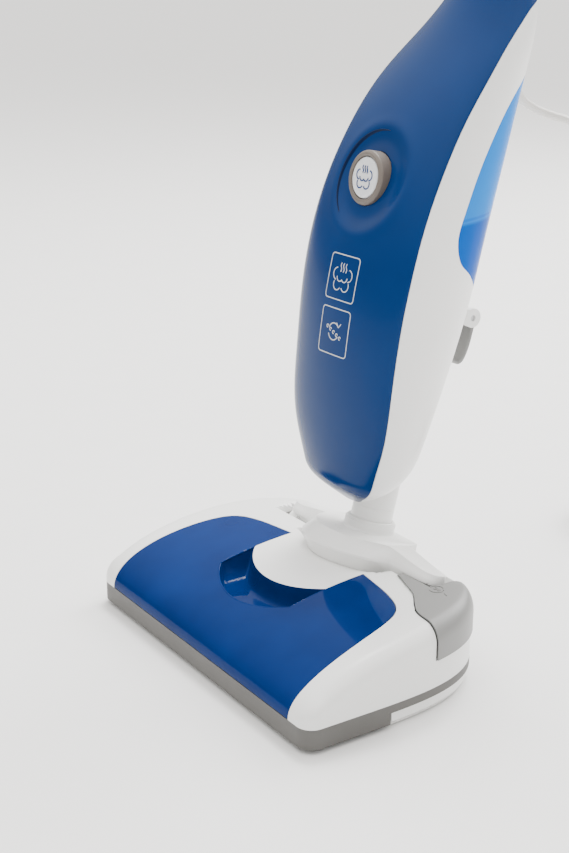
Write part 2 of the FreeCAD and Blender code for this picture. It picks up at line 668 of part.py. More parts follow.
def make_underside(hinge_y):
    """Wheels, pad, pad plate, steam plate and steam pipe."""
    axles = []
    for side, name in ((-1, "left"), (1, "right")):
        wx = side * (HALF - 9)
        wheel = rod(wx - WHEEL_WIDTH / 2, wx + WHEEL_WIDTH / 2, WHEEL_Y, WHEEL_R, WHEEL_R)
        wheel = wheel.makeFillet(1.0, [wheel.Edges[0], wheel.Edges[2]])
        wheel = wheel.cut(rod(wx - 9, wx + 9, WHEEL_Y, WHEEL_R, 1.5 + RUN_GAP))
        save("wheel_" + name, wheel)
        reach = WHEEL_WIDTH / 2 + 2.2
        axles.append(rod(wx - reach, wx + reach, WHEEL_Y, WHEEL_R, 1.5))
    save("wheel_axles", *axles)
    front = STEP_Y + 2
    pad = plan_prism(PAD_INSET, 0, PAD_THICK, front)
    save("microfibre_pad", pad)
    plate = plan_prism(PAD_INSET - 1.5, PAD_THICK, PAD_THICK + PAD_PLATE_THICK, front)
    plate_top = PAD_THICK + PAD_PLATE_THICK
    room = box(-STEAM_PLATE_X / 2 - 1, STEAM_PLATE_X / 2 + 1, front + 8,
               front + 10 + STEAM_PLATE_Y, plate_top - STEAM_PLATE_THICK - 0.4, plate_top + 5)
    plate = plate.cut(room)
    steam = box(-STEAM_PLATE_X / 2, STEAM_PLATE_X / 2, front + 9, front + 9 + STEAM_PLATE_Y,
                plate_top - STEAM_PLATE_THICK - 0.4, plate_top - 0.4)
    pitch = STEAM_PLATE_X / NOZZLES
    for k in range(NOZZLES):
        x = (k - (NOZZLES - 1) / 2) * pitch
        hole = post(x, front + 9 + STEAM_PLATE_Y / 2, 0, 30, NOZZLE_R)
        steam = steam.cut(hole)
        plate = plate.cut(hole)
    save("pad_plate", plate)
    save("steam_plate", steam)
    pipe_y = front + 9 + STEAM_PLATE_Y / 2 + 8
    pipe = post(0, pipe_y, plate_top + 4, 33, 3.5).cut(post(0, pipe_y, plate_top, 40, 2.2))
    save("steam_pipe", pipe)


def make_pedal():
    """The foot pedal, its pin and its spring."""
    skin = head_solid(-PEDAL_PROUD).cut(head_solid(-PEDAL_PROUD + PEDAL_WALL * 0.35))
    skin = skin.common(pedal_prism(0.0, PEDAL_HEM_Z, HEAD_TOP + 30))
    top = head_solid(-PEDAL_PROUD).cut(head_solid(PEDAL_WALL - PEDAL_PROUD))
    top = top.common(pedal_prism(0.0, PEDAL_HEM_Z, HEAD_TOP + 30))
    top = top.common(box(60, HALF - 12, 0, REAR_Y - 12, PEDAL_HEM_Z, HEAD_TOP + 30))
    arm_room = lean(box(60, EYE_X + EYE_WIDTH / 2 + 2, -ARM_FRONT_V - 2, 80, -14, 60))
    pedal = skin.fuse(top).cut(arm_room)
    ear = box(94, 99, PEDAL_PIVOT_Y - 5, PEDAL_PIVOT_Y + 9, PEDAL_PIVOT_Z - 5,
              crown_z(PEDAL_PIVOT_Y) - 5)
    pedal = pedal.fuse(ear)
    pedal = pedal.cut(rod(93, 100, PEDAL_PIVOT_Y, PEDAL_PIVOT_Z, PEDAL_PIN_R + RUN_GAP))
    pedal = max(pedal.Solids, key=lambda s: s.Volume)
    save("pedal", pedal)
    save("pedal_pin", rod(86, 101, PEDAL_PIVOT_Y, PEDAL_PIVOT_Z, PEDAL_PIN_R))
    spring = post(PEDAL_SPRING_X, PEDAL_SPRING_Y, PEDAL_SEAT_Z, HEAD_TOP + 30, PEDAL_SPRING_R)
    spring = spring.cut(post(PEDAL_SPRING_X, PEDAL_SPRING_Y, 0, HEAD_TOP + 31, PEDAL_SPRING_R - 1.4))
    save("pedal_spring", spring.common(head_solid(PEDAL_WALL - PEDAL_PROUD)))


# ================================================================ upright pieces
def body_section(row, inset):
    """One section of the body: a shallow arc in front of the seam, half an ellipse behind it."""
    s, front, seam, share, rear = row
    half = BODY_HALF * share - inset
    front, rear = front + inset, rear - inset
    steps = 10
    back = []
    for k in range(steps + 1):
        a = math.pi * k / steps
        back.append(V(half * math.cos(a), seam + (rear - seam) * math.sin(a), s))
    face = []
    for k in range(steps + 1):
        a = -math.pi + math.pi * k / steps
        bow = abs(math.sin(a)) ** 1.2
        face.append(V(half * math.cos(a), seam + (front - seam) * bow, s))
    return Part.Wire([spline(back), spline(face)])


def socket_section(s, r):
    """A round section at the top of the body, in the same two halves."""
    front = [V(r * math.cos(a), r * math.sin(a), s) for a in
             [-math.pi + math.pi * k / 10 for k in range(11)]]
    back = [V(r * math.cos(a), r * math.sin(a), s) for a in
            [math.pi * k / 10 for k in range(11)]]
    return Part.Wire([spline(back), spline(front)])


def body_solid(inset):
    """The whole egg-shaped body, inset all round."""
    rows = list(BODY_STATIONS)
    if inset > 0.5:
        rows = rows[1:]
    wires = [body_section(row, inset) for row in rows]
    wires.append(socket_section(BODY_END_S, SOCKET_R - inset))
    return Part.makeLoft(wires, True, False)


def seam_prism(shift, front):
    """Everything in front of (or behind) the seam between blue and white, moved back by shift."""
    pts = [SEAM_LOW] + [(row[2], row[0]) for row in BODY_STATIONS[:10]] + list(SEAM_HIGH)
    curve = spline([V(-90, v + shift, s) for v, s in pts])
    a, b = V(-90, pts[0][0] + shift, pts[0][1]), V(-90, pts[-1][0] + shift, pts[-1][1])
    if front:
        ring = [b, V(-90, b.y, BODY_END_S + 30), V(-90, -120, BODY_END_S + 30), V(-90, -120, 20),
                V(-90, a.y, 20), a]
    else:
        ring = [b, V(-90, 90, b.z), V(-90, 90, 20), V(-90, a.y, 20), a]
    edges = [curve] + [Part.makeLine(p, q) for p, q in zip(ring, ring[1:])
                       if p.distanceToPoint(q) > 1e-6]
    return prism(edges, V(180, 0, 0))


def tank_prism(shift):
    """Everything behind the tank's front edge, moved back by shift."""
    pts = [V(-90, v + shift, s) for v, s in TANK_EDGE]
    curve = spline(pts)
    a, b = pts[0], pts[-1]
    return prism([curve, Part.makeLine(b, a)], V(180, 0, 0))


def button_axis():
    """Centre of the button's face and its inward direction."""
    front = -78.0
    a = math.radians(BUTTON_TILT)
    return V(0, front, BUTTON_S), V(0, math.cos(a), math.sin(a))


def along(centre, direction, start, end, r):
    """A cylinder from start to end along direction."""
    return Part.makeCylinder(r, end - start, centre + direction * start, direction)


def make_yoke():
    """Collar, arms, hinge eyes and neck socket: everything that leans but doesn't swivel."""
    collar = Part.makeCone(COLLAR_BASE_R, COLLAR_TOP_R, COLLAR_TOP_S - COLLAR_BASE_S,
                           V(0, 0, COLLAR_BASE_S), V(0, 0, 1))
    hollow = Part.makeCone(COLLAR_BASE_R - 3, COLLAR_TOP_R - 3, COLLAR_TOP_S - COLLAR_BASE_S - 3,
                           V(0, 0, COLLAR_BASE_S), V(0, 0, 1))
    collar = collar.cut(hollow.cut(post(0, 0, COLLAR_BASE_S, COLLAR_TOP_S, NECK_R + NECK_WALL + 1)))
    collar = collar.common(box(-80, 80, -80, COLLAR_REAR_V, -20, 40))
    socket = post(0, 0, COLLAR_BASE_S, SOCKET_TOP_S, NECK_R + NECK_WALL)
    yoke = collar.fuse(socket)
    for side in (-1, 1):
        inner, outer = side * 40, side * (EYE_X + EYE_WIDTH / 2)
        low, high = min(inner, outer), max(inner, outer)
        arm = polygon_x([(-ARM_FRONT_V, ARM_LOW_S), (-ARM_FRONT_V + 3, 7), (6, 10), (9, 6), (9, ARM_LOW_S)], low, high)
        eye = rod(side * EYE_X - EYE_WIDTH / 2, side * EYE_X + EYE_WIDTH / 2, 0, HINGE_S, EYE_R)
        web_half = EYE_WIDTH / 2 - 0.6
        web = box(side * EYE_X - web_half, side * EYE_X + web_half, -6, 6, HINGE_S, 5)
        yoke = yoke.fuse(arm.fuse(web).fuse(eye))
    yoke = yoke.cut(post(0, 0, COLLAR_BASE_S - 1, SOCKET_TOP_S + 1, NECK_R + RUN_GAP))
    yoke = yoke.cut(rod(-HALF, HALF, 0, HINGE_S, HINGE_PIN_R + RUN_GAP))
    save("yoke", lean(yoke))
    ring = post(0, 0, SOCKET_TOP_S - 8, SOCKET_TOP_S - 2, NECK_R + NECK_WALL + 1.2)
    ring = ring.cut(post(0, 0, 0, 60, NECK_R + NECK_WALL))
    save("neck_ring", lean(ring))


def make_body():
    """Blue cover, white shell, neck, tank bay and what the body holds."""
    outer = body_solid(0.0)
    inner = body_solid(BODY_WALL)
    skin = outer.cut(inner)
    inside_top = post(0, 0, BODY_END_S - 40, BODY_END_S + 1, TUBE_R)
    centre, inward = button_axis()
    hole = along(centre, inward, -30, 12, BUTTON_RING_R + PANEL_GAP)
    lens_cut = along(centre, inward, -30, 30, LENS_R + LENS_WIDTH / 2).cut(
        along(centre, inward, -31, 31, LENS_R - LENS_WIDTH / 2))
    lens_zone = box(-60, -4, -120, 0, BUTTON_S - 16, BUTTON_S + 40)
    lens_cut = lens_cut.common(lens_zone)
    cover = skin.common(seam_prism(-PANEL_GAP / 2, True))
    cover = cover.cut(hole).cut(lens_cut).cut(inside_top)
    neck_room = post(0, 0, 0, NECK_END_S + PANEL_GAP, NECK_R + PANEL_GAP)
    cover = cover.cut(neck_room)
    plug = outer.common(box(-40, 40, -40, 40, BODY_END_S - 34, BODY_END_S + 1))
    cover = cover.fuse(plug.cut(inside_top))
    save("front_cover", lean(max(cover.Solids, key=lambda s: s.Volume)))
    save("indicator_lens", lean(skin.common(lens_cut)))

    shell = skin.common(seam_prism(PANEL_GAP / 2, False)).cut(neck_room)
    shell = shell.cut(tank_prism(-PANEL_GAP))
    liner = inner.common(tank_prism(-PANEL_GAP - 2.2)).cut(tank_prism(-PANEL_GAP))
    liner = liner.cut(post(0, CAP_V, 200, 240, CAP_R + 4.5))
    shell = shell.fuse(liner)
    shell = lean(shell).cut(cord_hole())
    save("rear_shell", max(shell.Solids, key=lambda s: s.Volume))

    neck = post(0, 0, COLLAR_BASE_S, NECK_END_S, NECK_R)
    flange = post(0, 0, NECK_END_S + PANEL_GAP, NECK_END_S + 5, NECK_R + 6).common(inner)
    neck = neck.fuse(flange.fuse(post(0, 0, NECK_END_S - 2, NECK_END_S + 2, NECK_R - 0.5)))
    neck = neck.cut(post(0, 0, -30, 200, NECK_R - NECK_WALL))
    save("neck_tube", lean(neck.removeSplitter()))
    save("steam_hose", lean(post(0, 0, -4, 122, 4.0).cut(post(0, 0, -10, 130, 2.6))))

    boiler = post(0, -20, 122, 196, 24)
    boiler = boiler.makeFillet(6, [e for e in boiler.Edges if e.Length > 100])
    boiler = boiler.fuse(post(0, 0, 114, 124, 5.5).fuse(post(0, 0, 118, 130, 5.5)))
    boiler = boiler.cut(post(0, 0, 100, 122.5, 4.0))
    save("boiler", lean(boiler))
    pump = box(-20, 20, -52, -34, 300, 342).fuse(rod(20, 32, -44, 321, 8))
    save("pump", lean(pump))
    board = box(-36, 36, -46, -44.2, 205, 250)
    chips = [box(-20, -6, -44.2, -40, 214, 226), box(6, 22, -44.2, -38, 228, 242)]
    save("circuit_board", lean(board.fuse(chips[0]).fuse(chips[1])))
    switch = along(centre, inward, 17.5, 26, 8)
    save("button_switch", lean(switch))
    valve = post(0, CAP_V, CAP_LOW_S - 14, CAP_LOW_S - 2, 9).cut(post(0, CAP_V, CAP_LOW_S - 10, CAP_LOW_S, 5))
    save("inlet_valve", lean(valve))


def make_button():
    """Steam button, its ring and its spring."""
    centre, inward = button_axis()
    ring = along(centre, inward, -1.5, 10, BUTTON_RING_R)
    ring = ring.cut(along(centre, inward, -3, 11, BUTTON_R + MOVE_GAP))
    save("button_ring", lean(ring))
    cap = along(centre, inward, -0.5, 9, BUTTON_R)
    cap = cap.makeFillet(1.5, [e for e in cap.Edges if abs(e.Length - 2 * math.pi * BUTTON_R) < 1][:2])
    save("steam_button", lean(cap))
    coil = along(centre, inward, 9, 17.5, 5).cut(along(centre, inward, 8, 18, 4))
    save("button_spring", lean(coil))


def make_tank():
    """Water tank, its cap and seal."""
    outer = body_solid(0.0).common(tank_prism(0.0))
    hollow = body_solid(TANK_WALL).common(tank_prism(TANK_WALL))
    tank = outer.cut(hollow).cut(post(0, CAP_V, 200, 245, FILL_R))
    lip_s = CAP_LOW_S + 5.5
    spout_r = FILL_R + 1.6
    spout = post(0, CAP_V, lip_s, 231.5, spout_r).cut(post(0, CAP_V, 200, 260, FILL_R))
    tank = tank.fuse(spout)
    save("water_tank", lean(max(tank.Solids, key=lambda s: s.Volume)))
    seat_s = lip_s - SEAL_THICK - MOVE_GAP * 0.6
    cap = post(0, CAP_V, CAP_LOW_S, CAP_LOW_S + CAP_HEIGHT, CAP_R)
    cap = cap.cut(post(0, CAP_V, seat_s, CAP_LOW_S + CAP_HEIGHT + 1, spout_r + MOVE_GAP * 0.6))
    save("tank_cap", lean(cap))
    seal = post(0, CAP_V, lip_s - SEAL_THICK, lip_s, spout_r).cut(post(0, CAP_V, 200, 260, FILL_R - 2))
    save("tank_seal", lean(seal))


def hook_shape(length, gap, thick, width, pin_r):
    """A hook hung from a barrel: an arm that stands off and ends in a lip turned inward."""
    arm = box(-width, width, gap, gap + thick, -length, 4)
    arm = arm.makeFillet(thick * 0.45, [e for e in arm.Edges if abs(e.Length - 2 * width) < 0.01])
    barrel = rod(-width, width, 0, 0, HOOK_BOSS_R - 1)
    bridge = box(-width, width, 0, gap + thick * 0.6, -HOOK_BOSS_R + 2, 5)
    lip = box(-width, width, gap - 3, gap + 2, -length + 1.5, -length + 6)
    hook = arm.fuse(barrel).fuse(bridge).fuse(lip)
    return hook.cut(rod(-60, 60, 0, 0, pin_r + RUN_GAP))


def make_hooks():
    """Lower and upper cord hooks with their pins and bosses."""
    stand = HOOK_V + 9
    hook = hook_shape(HOOK_DROP, 3.5, HOOK_THICK, HOOK_HALF, HOOK_PIN_R)
    hook.translate(V(0, stand, HOOK_S))
    save("lower_cord_hook", lean(hook))
    pin = rod(-HOOK_HALF - 4, HOOK_HALF + 4, stand, HOOK_S, HOOK_PIN_R)
    save("hook_pin", lean(pin))
    bosses = []
    for side in (-1, 1):
        x = side * (HOOK_HALF + MOVE_GAP)
        low, high = min(x, x + side * 5), max(x, x + side * 5)
        boss = rod(low, high, stand, HOOK_S, HOOK_BOSS_R)
        foot = box(low, high, 10, stand, HOOK_S - 6, HOOK_S + 6)
        boss = boss.fuse(foot).cut(body_solid(0.0))
        boss = max(boss.Solids, key=lambda s: s.Volume)
        bosses.append(boss.cut(rod(-40, 40, stand, HOOK_S, HOOK_PIN_R)))
    save("hook_bosses", *[lean(b) for b in bosses])


def make_handle():
    """Tube, grip loop, soft insert, collar and upper hook."""
    start = BODY_END_S - 40
    tube = post(0, 0, start, TUBE_END_S, TUBE_R).cut(post(0, 0, 0, 2000, TUBE_R - TUBE_WALL))
    save("handle_tube", lean(tube))
    collar = post(0, 0, BODY_END_S, BODY_END_S + 16, SOCKET_R).cut(post(0, 0, 0, 2000, TUBE_R))
    save("tube_collar", lean(collar))
    # grip: a sleeve on the tube that opens into a D-shaped loop
    sleeve = post(0, 0, GRIP_START_S, TUBE_END_S, GRIP_R).cut(post(0, 0, 0, TUBE_END_S, TUBE_R))
    half = 13.0
    top = GRIP_START_S + GRIP_LEN
    outline = [(-GRIP_R, TUBE_END_S - 6), (-GRIP_R + 2, top - 30), (10, top),
               (GRIP_R + LOOP_DEPTH - 22, top - 2), (GRIP_R + LOOP_DEPTH, top - 26),
               (GRIP_R + LOOP_DEPTH - 6, top - 52), (GRIP_R + 8, TUBE_END_S + 8), (GRIP_R, TUBE_END_S - 6)]
    inner = [(GRIP_R - 6, TUBE_END_S + 34), (GRIP_R - 4, top - 34), (GRIP_R + 4, top - 24),
             (GRIP_R + LOOP_DEPTH - 24, top - 25), (GRIP_R + LOOP_DEPTH - 20, top - 38),
             (GRIP_R + 10, TUBE_END_S + 40)]
    loop = polygon_x(outline, -half, half)
    loop = loop.makeFillet(7, [e for e in loop.Edges if abs(e.Length - 2 * half) < 0.01])
    gap = polygon_x(inner, -half - 1, half + 1)
    gap = gap.makeFillet(3, [e for e in gap.Edges if abs(e.Length - 2 * half - 2) < 0.01])
    loop = loop.cut(gap)
    grip = sleeve.fuse(loop).cut(post(0, 0, 0, TUBE_END_S, TUBE_R))
    insert_room = box(-half + 4, half - 4, -40, -GRIP_R + 5.5, TUBE_END_S + 12, top - 44)
    save("grip_insert", lean(insert_room.common(loop)))
    save("handle_grip", lean(grip.cut(insert_room).removeSplitter()))
    # upper hook turns on a pin that stands out behind the tube
    clip = post(0, 0, UPPER_HOOK_S - 9, UPPER_HOOK_S + 9, TUBE_R + 3.5).cut(post(0, 0, 0, 2000, TUBE_R))
    pin = Part.makeCylinder(3.0, 16, V(0, TUBE_R + 2.5, UPPER_HOOK_S), V(0, 1, 0))
    save("upper_hook_clip", lean(clip.fuse(pin)))
    y0 = TUBE_R + 3.5 + MOVE_GAP
    arm = box(-6, 6, y0, y0 + 12, UPPER_HOOK_S - 8, UPPER_HOOK_S + 24)
    lip = box(-6, 6, y0, y0 + 22, UPPER_HOOK_S + 18, UPPER_HOOK_S + 24)
    nose = box(-6, 6, y0 + 17, y0 + 22, UPPER_HOOK_S + 18, UPPER_HOOK_S + 34)
    hook = arm.fuse(lip).fuse(nose)
    hook = hook.cut(Part.makeCylinder(3.0 + RUN_GAP, 40, V(0, 0, UPPER_HOOK_S), V(0, 1, 0)))
    save("upper_cord_hook", lean(hook.removeSplitter()))


# ================================================================ mains cord
def cord_path(points):
    """Straight runs joined by tangent arcs, each arc as large as its two runs allow."""
    pts = [V(*p) for p in points]
    edges, here = [], pts[0]
    for before, corner, after in zip(pts, pts[1:], pts[2:]):
        one, two = (corner - before), (after - corner)
        turn = one.getAngle(two)
        reach = 0.45 * min(one.Length, two.Length)
        radius = reach / math.tan(turn / 2)
        start = corner - one.normalize() * reach
        end = corner + two.normalize() * reach
        middle = (start + end) * 0.5
        bulge = radius / math.cos(turn / 2) - radius
        mid = corner + (middle - corner).normalize() * bulge
        edges.append(Part.makeLine(here, start))
        edges.append(Part.Arc(start, mid, end).toShape())
        print("cord bend radius", round(radius, 1))
        here = end
    edges.append(Part.makeLine(here, pts[-1]))
    return Part.Wire(edges)


def cord_hole():
    """The hole that the cord leaves the body through."""
    a, b = V(*CORD_POINTS[0]), V(*CORD_POINTS[1])
    way = (b - a).normalize()
    return Part.makeCylinder(CORD_D / 2, 2 * RELIEF_LEN, a - way * RELIEF_LEN, way)


def make_cord():
    """Strain relief, cord, coil, tie and plug."""
    a, b = V(*CORD_POINTS[0]), V(*CORD_POINTS[1])
    way = (b - a).normalize()
    relief = Part.makeCone(RELIEF_BASE_R, CORD_D / 2 + 1.2, RELIEF_LEN, a - way * RELIEF_SUNK, way)
    relief = relief.cut(Part.makeCylinder(CORD_D / 2, 60, a, way)).cut(lean(body_solid(0.0)))
    save("strain_relief", max(relief.Solids, key=lambda s: s.Volume))
    path = cord_path(CORD_POINTS)
    disc = Part.Wire(Part.makeCircle(CORD_D / 2, a, way))
    tube = path.makePipeShell([disc], True, False)
    section = math.pi * CORD_D ** 2 / 4
    print("cord volume over section times length", round(tube.Volume / (section * path.Length), 4))
    save("mains_cord", tube)
    # the coil: one ring of the turns' outer shape
    inner_r = COIL_TURN_R - COIL_COLUMNS * CORD_D / 2
    outer_r = COIL_TURN_R + COIL_COLUMNS * CORD_D / 2
    base, top = TIE_THICK + 0.2, TIE_THICK + 0.2 + COIL_ROWS * CORD_D
    ring = post(COIL_X, COIL_Y, base, top, outer_r).cut(post(COIL_X, COIL_Y, 0, 99, inner_r))
    ring = ring.makeFillet(CORD_D / 2.2, [e for e in ring.Edges if len(e.Vertexes) == 1])
    save("cord_coil", ring)
    turn = 2 * math.pi * COIL_TURN_R
    print("coiled length", round(turn * (COIL_COLUMNS * COIL_ROWS - 1)), "free", round(path.Length))
    gap = 0.1
    low, high = COIL_X + inner_r - gap, COIL_X + outer_r + gap
    y0, y1 = COIL_Y - TIE_WIDTH / 2, COIL_Y + TIE_WIDTH / 2
    band = box(low - TIE_THICK, high + TIE_THICK, y0, y1, base - gap - TIE_THICK, top + gap + TIE_THICK)
    band = band.makeFillet(2.5, [e for e in band.Edges if abs(e.Length - TIE_WIDTH) < 0.01])
    room = post(COIL_X, COIL_Y, base - gap, top + gap, outer_r + gap)
    band = band.cut(room.cut(post(COIL_X, COIL_Y, 0, 99, inner_r - gap)))
    save("cord_tie", max(band.Solids, key=lambda s: s.Volume))
    # the plug lies beside the coil, its tail on the outermost turn's tangent
    y = COIL_Y - outer_r + CORD_D / 2
    z = PLUG_FLAT + 0.5
    x = COIL_X + math.sqrt(outer_r ** 2 - (COIL_Y - y - CORD_D / 2) ** 2)
    tail = Part.makeCone(CORD_D / 2 + 1, PLUG_R * 0.6, PLUG_TAIL, V(x, y, z), V(1, 0, 0))
    tail = tail.cut(rod(x - 1, x + PLUG_TAIL * 0.6, y, z, CORD_D / 2))
    start = x + PLUG_TAIL
    body = rod(start, start + PLUG_LEN, y, z, PLUG_R)
    body = body.makeFillet(3, [e for e in body.Edges if len(e.Vertexes) == 1])
    flat = box(start - 1, start + PLUG_LEN + 1, y - PLUG_R, y + PLUG_R, z - PLUG_FLAT, z + PLUG_FLAT)
    body = body.common(flat)
    plug = tail.fuse(body).cut(post(COIL_X, COIL_Y, 0, 99, outer_r + 0.05))
    pins = []
    for side in (-PIN_PITCH / 2, PIN_PITCH / 2):
        pins.append(rod(start + PLUG_LEN - 4, start + PLUG_LEN + 19, y + side, z, PIN_R))
        plug = plug.cut(rod(start + PLUG_LEN - 4, start + PLUG_LEN + 1, y + side, z, PIN_R))
    save("mains_plug", max(plug.Solids, key=lambda s: s.Volume))
    save("plug_pins", *pins)


os.makedirs("parts", exist_ok=True)
BRUSH_HALF, BRUSH_Z, BELT_X, HINGE_Y, HINGE_Z = make_head()
make_brush(BRUSH_HALF, BRUSH_Z, BELT_X)
make_underside(HINGE_Y)
make_pedal()
make_yoke()
make_body()
make_button()
make_tank()
make_hooks()
make_handle()
make_cord()
print("hinge", HINGE_Y, HINGE_Z, "brush", BRUSH_Y, BRUSH_Z)
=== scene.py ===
import json
import math

import bmesh
import bpy
import numpy as np
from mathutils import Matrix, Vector


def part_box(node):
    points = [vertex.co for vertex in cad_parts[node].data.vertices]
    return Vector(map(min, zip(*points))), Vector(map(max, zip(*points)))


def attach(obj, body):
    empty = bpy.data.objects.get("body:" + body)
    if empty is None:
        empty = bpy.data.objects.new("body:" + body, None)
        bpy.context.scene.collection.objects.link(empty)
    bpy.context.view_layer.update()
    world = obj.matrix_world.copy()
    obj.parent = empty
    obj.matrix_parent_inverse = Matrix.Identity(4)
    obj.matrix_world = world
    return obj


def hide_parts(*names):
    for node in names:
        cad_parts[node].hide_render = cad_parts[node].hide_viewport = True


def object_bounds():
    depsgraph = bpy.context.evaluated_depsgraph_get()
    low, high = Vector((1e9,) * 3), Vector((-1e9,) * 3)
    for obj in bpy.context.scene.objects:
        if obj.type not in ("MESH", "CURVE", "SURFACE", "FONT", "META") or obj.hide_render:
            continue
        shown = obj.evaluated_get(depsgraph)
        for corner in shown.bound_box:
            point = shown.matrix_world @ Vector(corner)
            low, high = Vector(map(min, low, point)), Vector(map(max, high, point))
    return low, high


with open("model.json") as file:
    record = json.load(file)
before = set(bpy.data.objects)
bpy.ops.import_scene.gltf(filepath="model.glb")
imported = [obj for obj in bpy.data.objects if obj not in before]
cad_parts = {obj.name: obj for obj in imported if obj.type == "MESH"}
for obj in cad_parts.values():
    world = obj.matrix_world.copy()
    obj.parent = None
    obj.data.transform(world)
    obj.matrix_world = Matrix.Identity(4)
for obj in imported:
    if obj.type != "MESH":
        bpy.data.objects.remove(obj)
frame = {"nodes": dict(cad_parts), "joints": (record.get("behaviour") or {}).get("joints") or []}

# Upright steam mop. Shapes are worked out in millimetres and written in metres.
# Head shapes use the object's own axes. Body shapes use x, v (backwards) and s (up the neck's
# axis), and lean() puts them where the frame's neck joint says.
CAD_LOW, CAD_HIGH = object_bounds()
NODES = frame["nodes"]
JOINTS = {joint["name"]: joint for joint in frame["joints"]}
MM = 0.001
NECK = np.array(JOINTS["neck_swivel"]["pos_m"]) / MM
UP = np.array(JOINTS["neck_swivel"]["axis"])
BACK = np.array([0.0, UP[2], -UP[1]])

# ---- driving dimensions, millimetres
HALF = CAD_HIGH.x / MM
FRONT, REAR = -94.0, 94.0
SEAM = 19.0
TOP = 68.5
CREST = 66.0
WIDEST = -60.0
PLAN_POWER = 3.65
CORNER = 12.0
SHOULDER = 13.0
WALL = 2.4
GAP = 0.5
TONGUE = 48.5
TONGUE_SIDE, TONGUE_TIP = -8.5, -29.0
SCOOP_SIDE, SCOOP_TIP = -40.0, -59.0
SCOOP_FLOOR = 42.5
PEDAL_PROUD = 1.4
PEDAL_HEM = 40.0
COLLAR_R = 42.5
EYE_X = 90.0
NECK_R = 16.5
BODY_HALF = 65.0
BODY_LOW, BODY_HIGH = 38.0, 500.0
BUTTON_S, BUTTON_V = 279.0, -78.0
BUTTON_TILT = math.radians(4)
DISH_R, DISH_DEPTH = 42.0, 3.4
RING_R = 20.0
TUBE_R = 13.0
WATER_Z = 328.0
SPOUT_V = -6.0
CORD_R = 3.5

# height up the axis, front v, seam v, share of the body's half width, rear v
STATIONS = np.array([
    (38.0, -27.0, -23.0, 0.14, -17.0),
    (46.0, -43.0, -36.0, 0.46, -6.0),
    (60.0, -54.0, -43.0, 0.68, 10.0),
    (90.0, -63.0, -51.0, 0.86, 20.0),
    (140.0, -73.0, -60.0, 0.94, 27.0),
    (200.0, -79.0, -67.0, 0.985, 33.0),
    (260.0, -78.0, -66.0, 1.0, 33.0),
    (320.0, -67.0, -53.0, 0.965, 33.0),
    (370.0, -48.0, -31.0, 0.88, 32.0),
    (410.0, -31.0, -5.0, 0.71, 31.0),
    (440.0, -22.0, 4.0, 0.52, 27.0),
    (470.0, -18.5, 1.5, 0.35, 21.0),
    (500.0, -17.0, 0.0, 17.0 / 65.0, 17.0),
])
TANK_EDGE = [(60, 196), (33, 209), (0, 225.5), (-20, 234), (-30, 250), (-28.5, 272),
             (-22, 306), (-10, 340), (4, 363), (22, 379), (60, 396)]
SEAM_HIGH = [(-5, 410), (13, 428), (45, 446)]


# ================================================================ curves and surfaces
def smooth_curve(points, count, closed=False):
    """Catmull-Rom: each stretch is the cubic through two points whose ends head along the chord
    between their neighbours. The open curve's neighbours past its ends are mirrored."""
    p = np.asarray(points, float)
    if closed:
        q = np.vstack([p[-1], p, p[0], p[1]])
    else:
        q = np.vstack([2 * p[0] - p[1], p, 2 * p[-1] - p[-2]])
    spans = len(q) - 3
    t = np.linspace(0, spans, count, endpoint=not closed)
    k = np.minimum(t.astype(int), spans - 1)
    f = (t - k)[:, None]
    a, b, c, d = q[k], q[k + 1], q[k + 2], q[k + 3]
    return 0.5 * (2 * b + (c - a) * f + (2 * a - 5 * b + 4 * c - d) * f ** 2
                  + (3 * b - a - 3 * c + d) * f ** 3)


def cubic_through(xs, ys, x):
    """The natural cubic through the points: the second slopes solve one banded set of equations,
    and each stretch is the cubic with its ends' heights and second slopes."""
    h = np.diff(xs)
    n = len(xs)
    m = np.eye(n)
    r = np.zeros(n)
    inner = np.arange(1, n - 1)
    m[inner, inner - 1], m[inner, inner], m[inner, inner + 1] = h[:-1], 2 * (h[:-1] + h[1:]), h[1:]
    r[inner] = 6 * (np.diff(ys)[1:] / h[1:] - np.diff(ys)[:-1] / h[:-1])
    bend = np.linalg.solve(m, r)
    k = np.clip(np.searchsorted(xs, x) - 1, 0, n - 2)
    a, b, w = xs[k + 1] - x, x - xs[k], h[k]
    return ((bend[k] * a ** 3 + bend[k + 1] * b ** 3) / (6 * w)
            + (ys[k] / w - bend[k] * w / 6) * a + (ys[k + 1] / w - bend[k + 1] * w / 6) * b)


def ease(low, high, x):
    """Nought below low, one above high, and the cubic 3t^2 - 2t^3 between."""
    t = np.clip((x - low) / (high - low), 0, 1)
    return t * t * (3 - 2 * t)


def lean(points):
    """From x, v, s to the object's axes: the neck's place plus v backwards and s up the neck."""
    p = np.asarray(points, float)
    return NECK + p[..., :1] * np.array([1.0, 0, 0]) + p[..., 1:2] * BACK + p[..., 2:3] * UP


def cells(rows, cols, wrap_rows=False, wrap_cols=False):
    """The grid's quads: each joins a point, the next along the row, and the two above them."""
    i = np.arange(rows if wrap_rows else rows - 1)
    j = np.arange(cols if wrap_cols else cols - 1)
    i, j = [a.ravel() for a in np.meshgrid(i, j, indexing="ij")]
    i2, j2 = (i + 1) % rows, (j + 1) % cols
    return np.stack([i * cols + j, i * cols + j2, i2 * cols + j2, i2 * cols + j], axis=1)


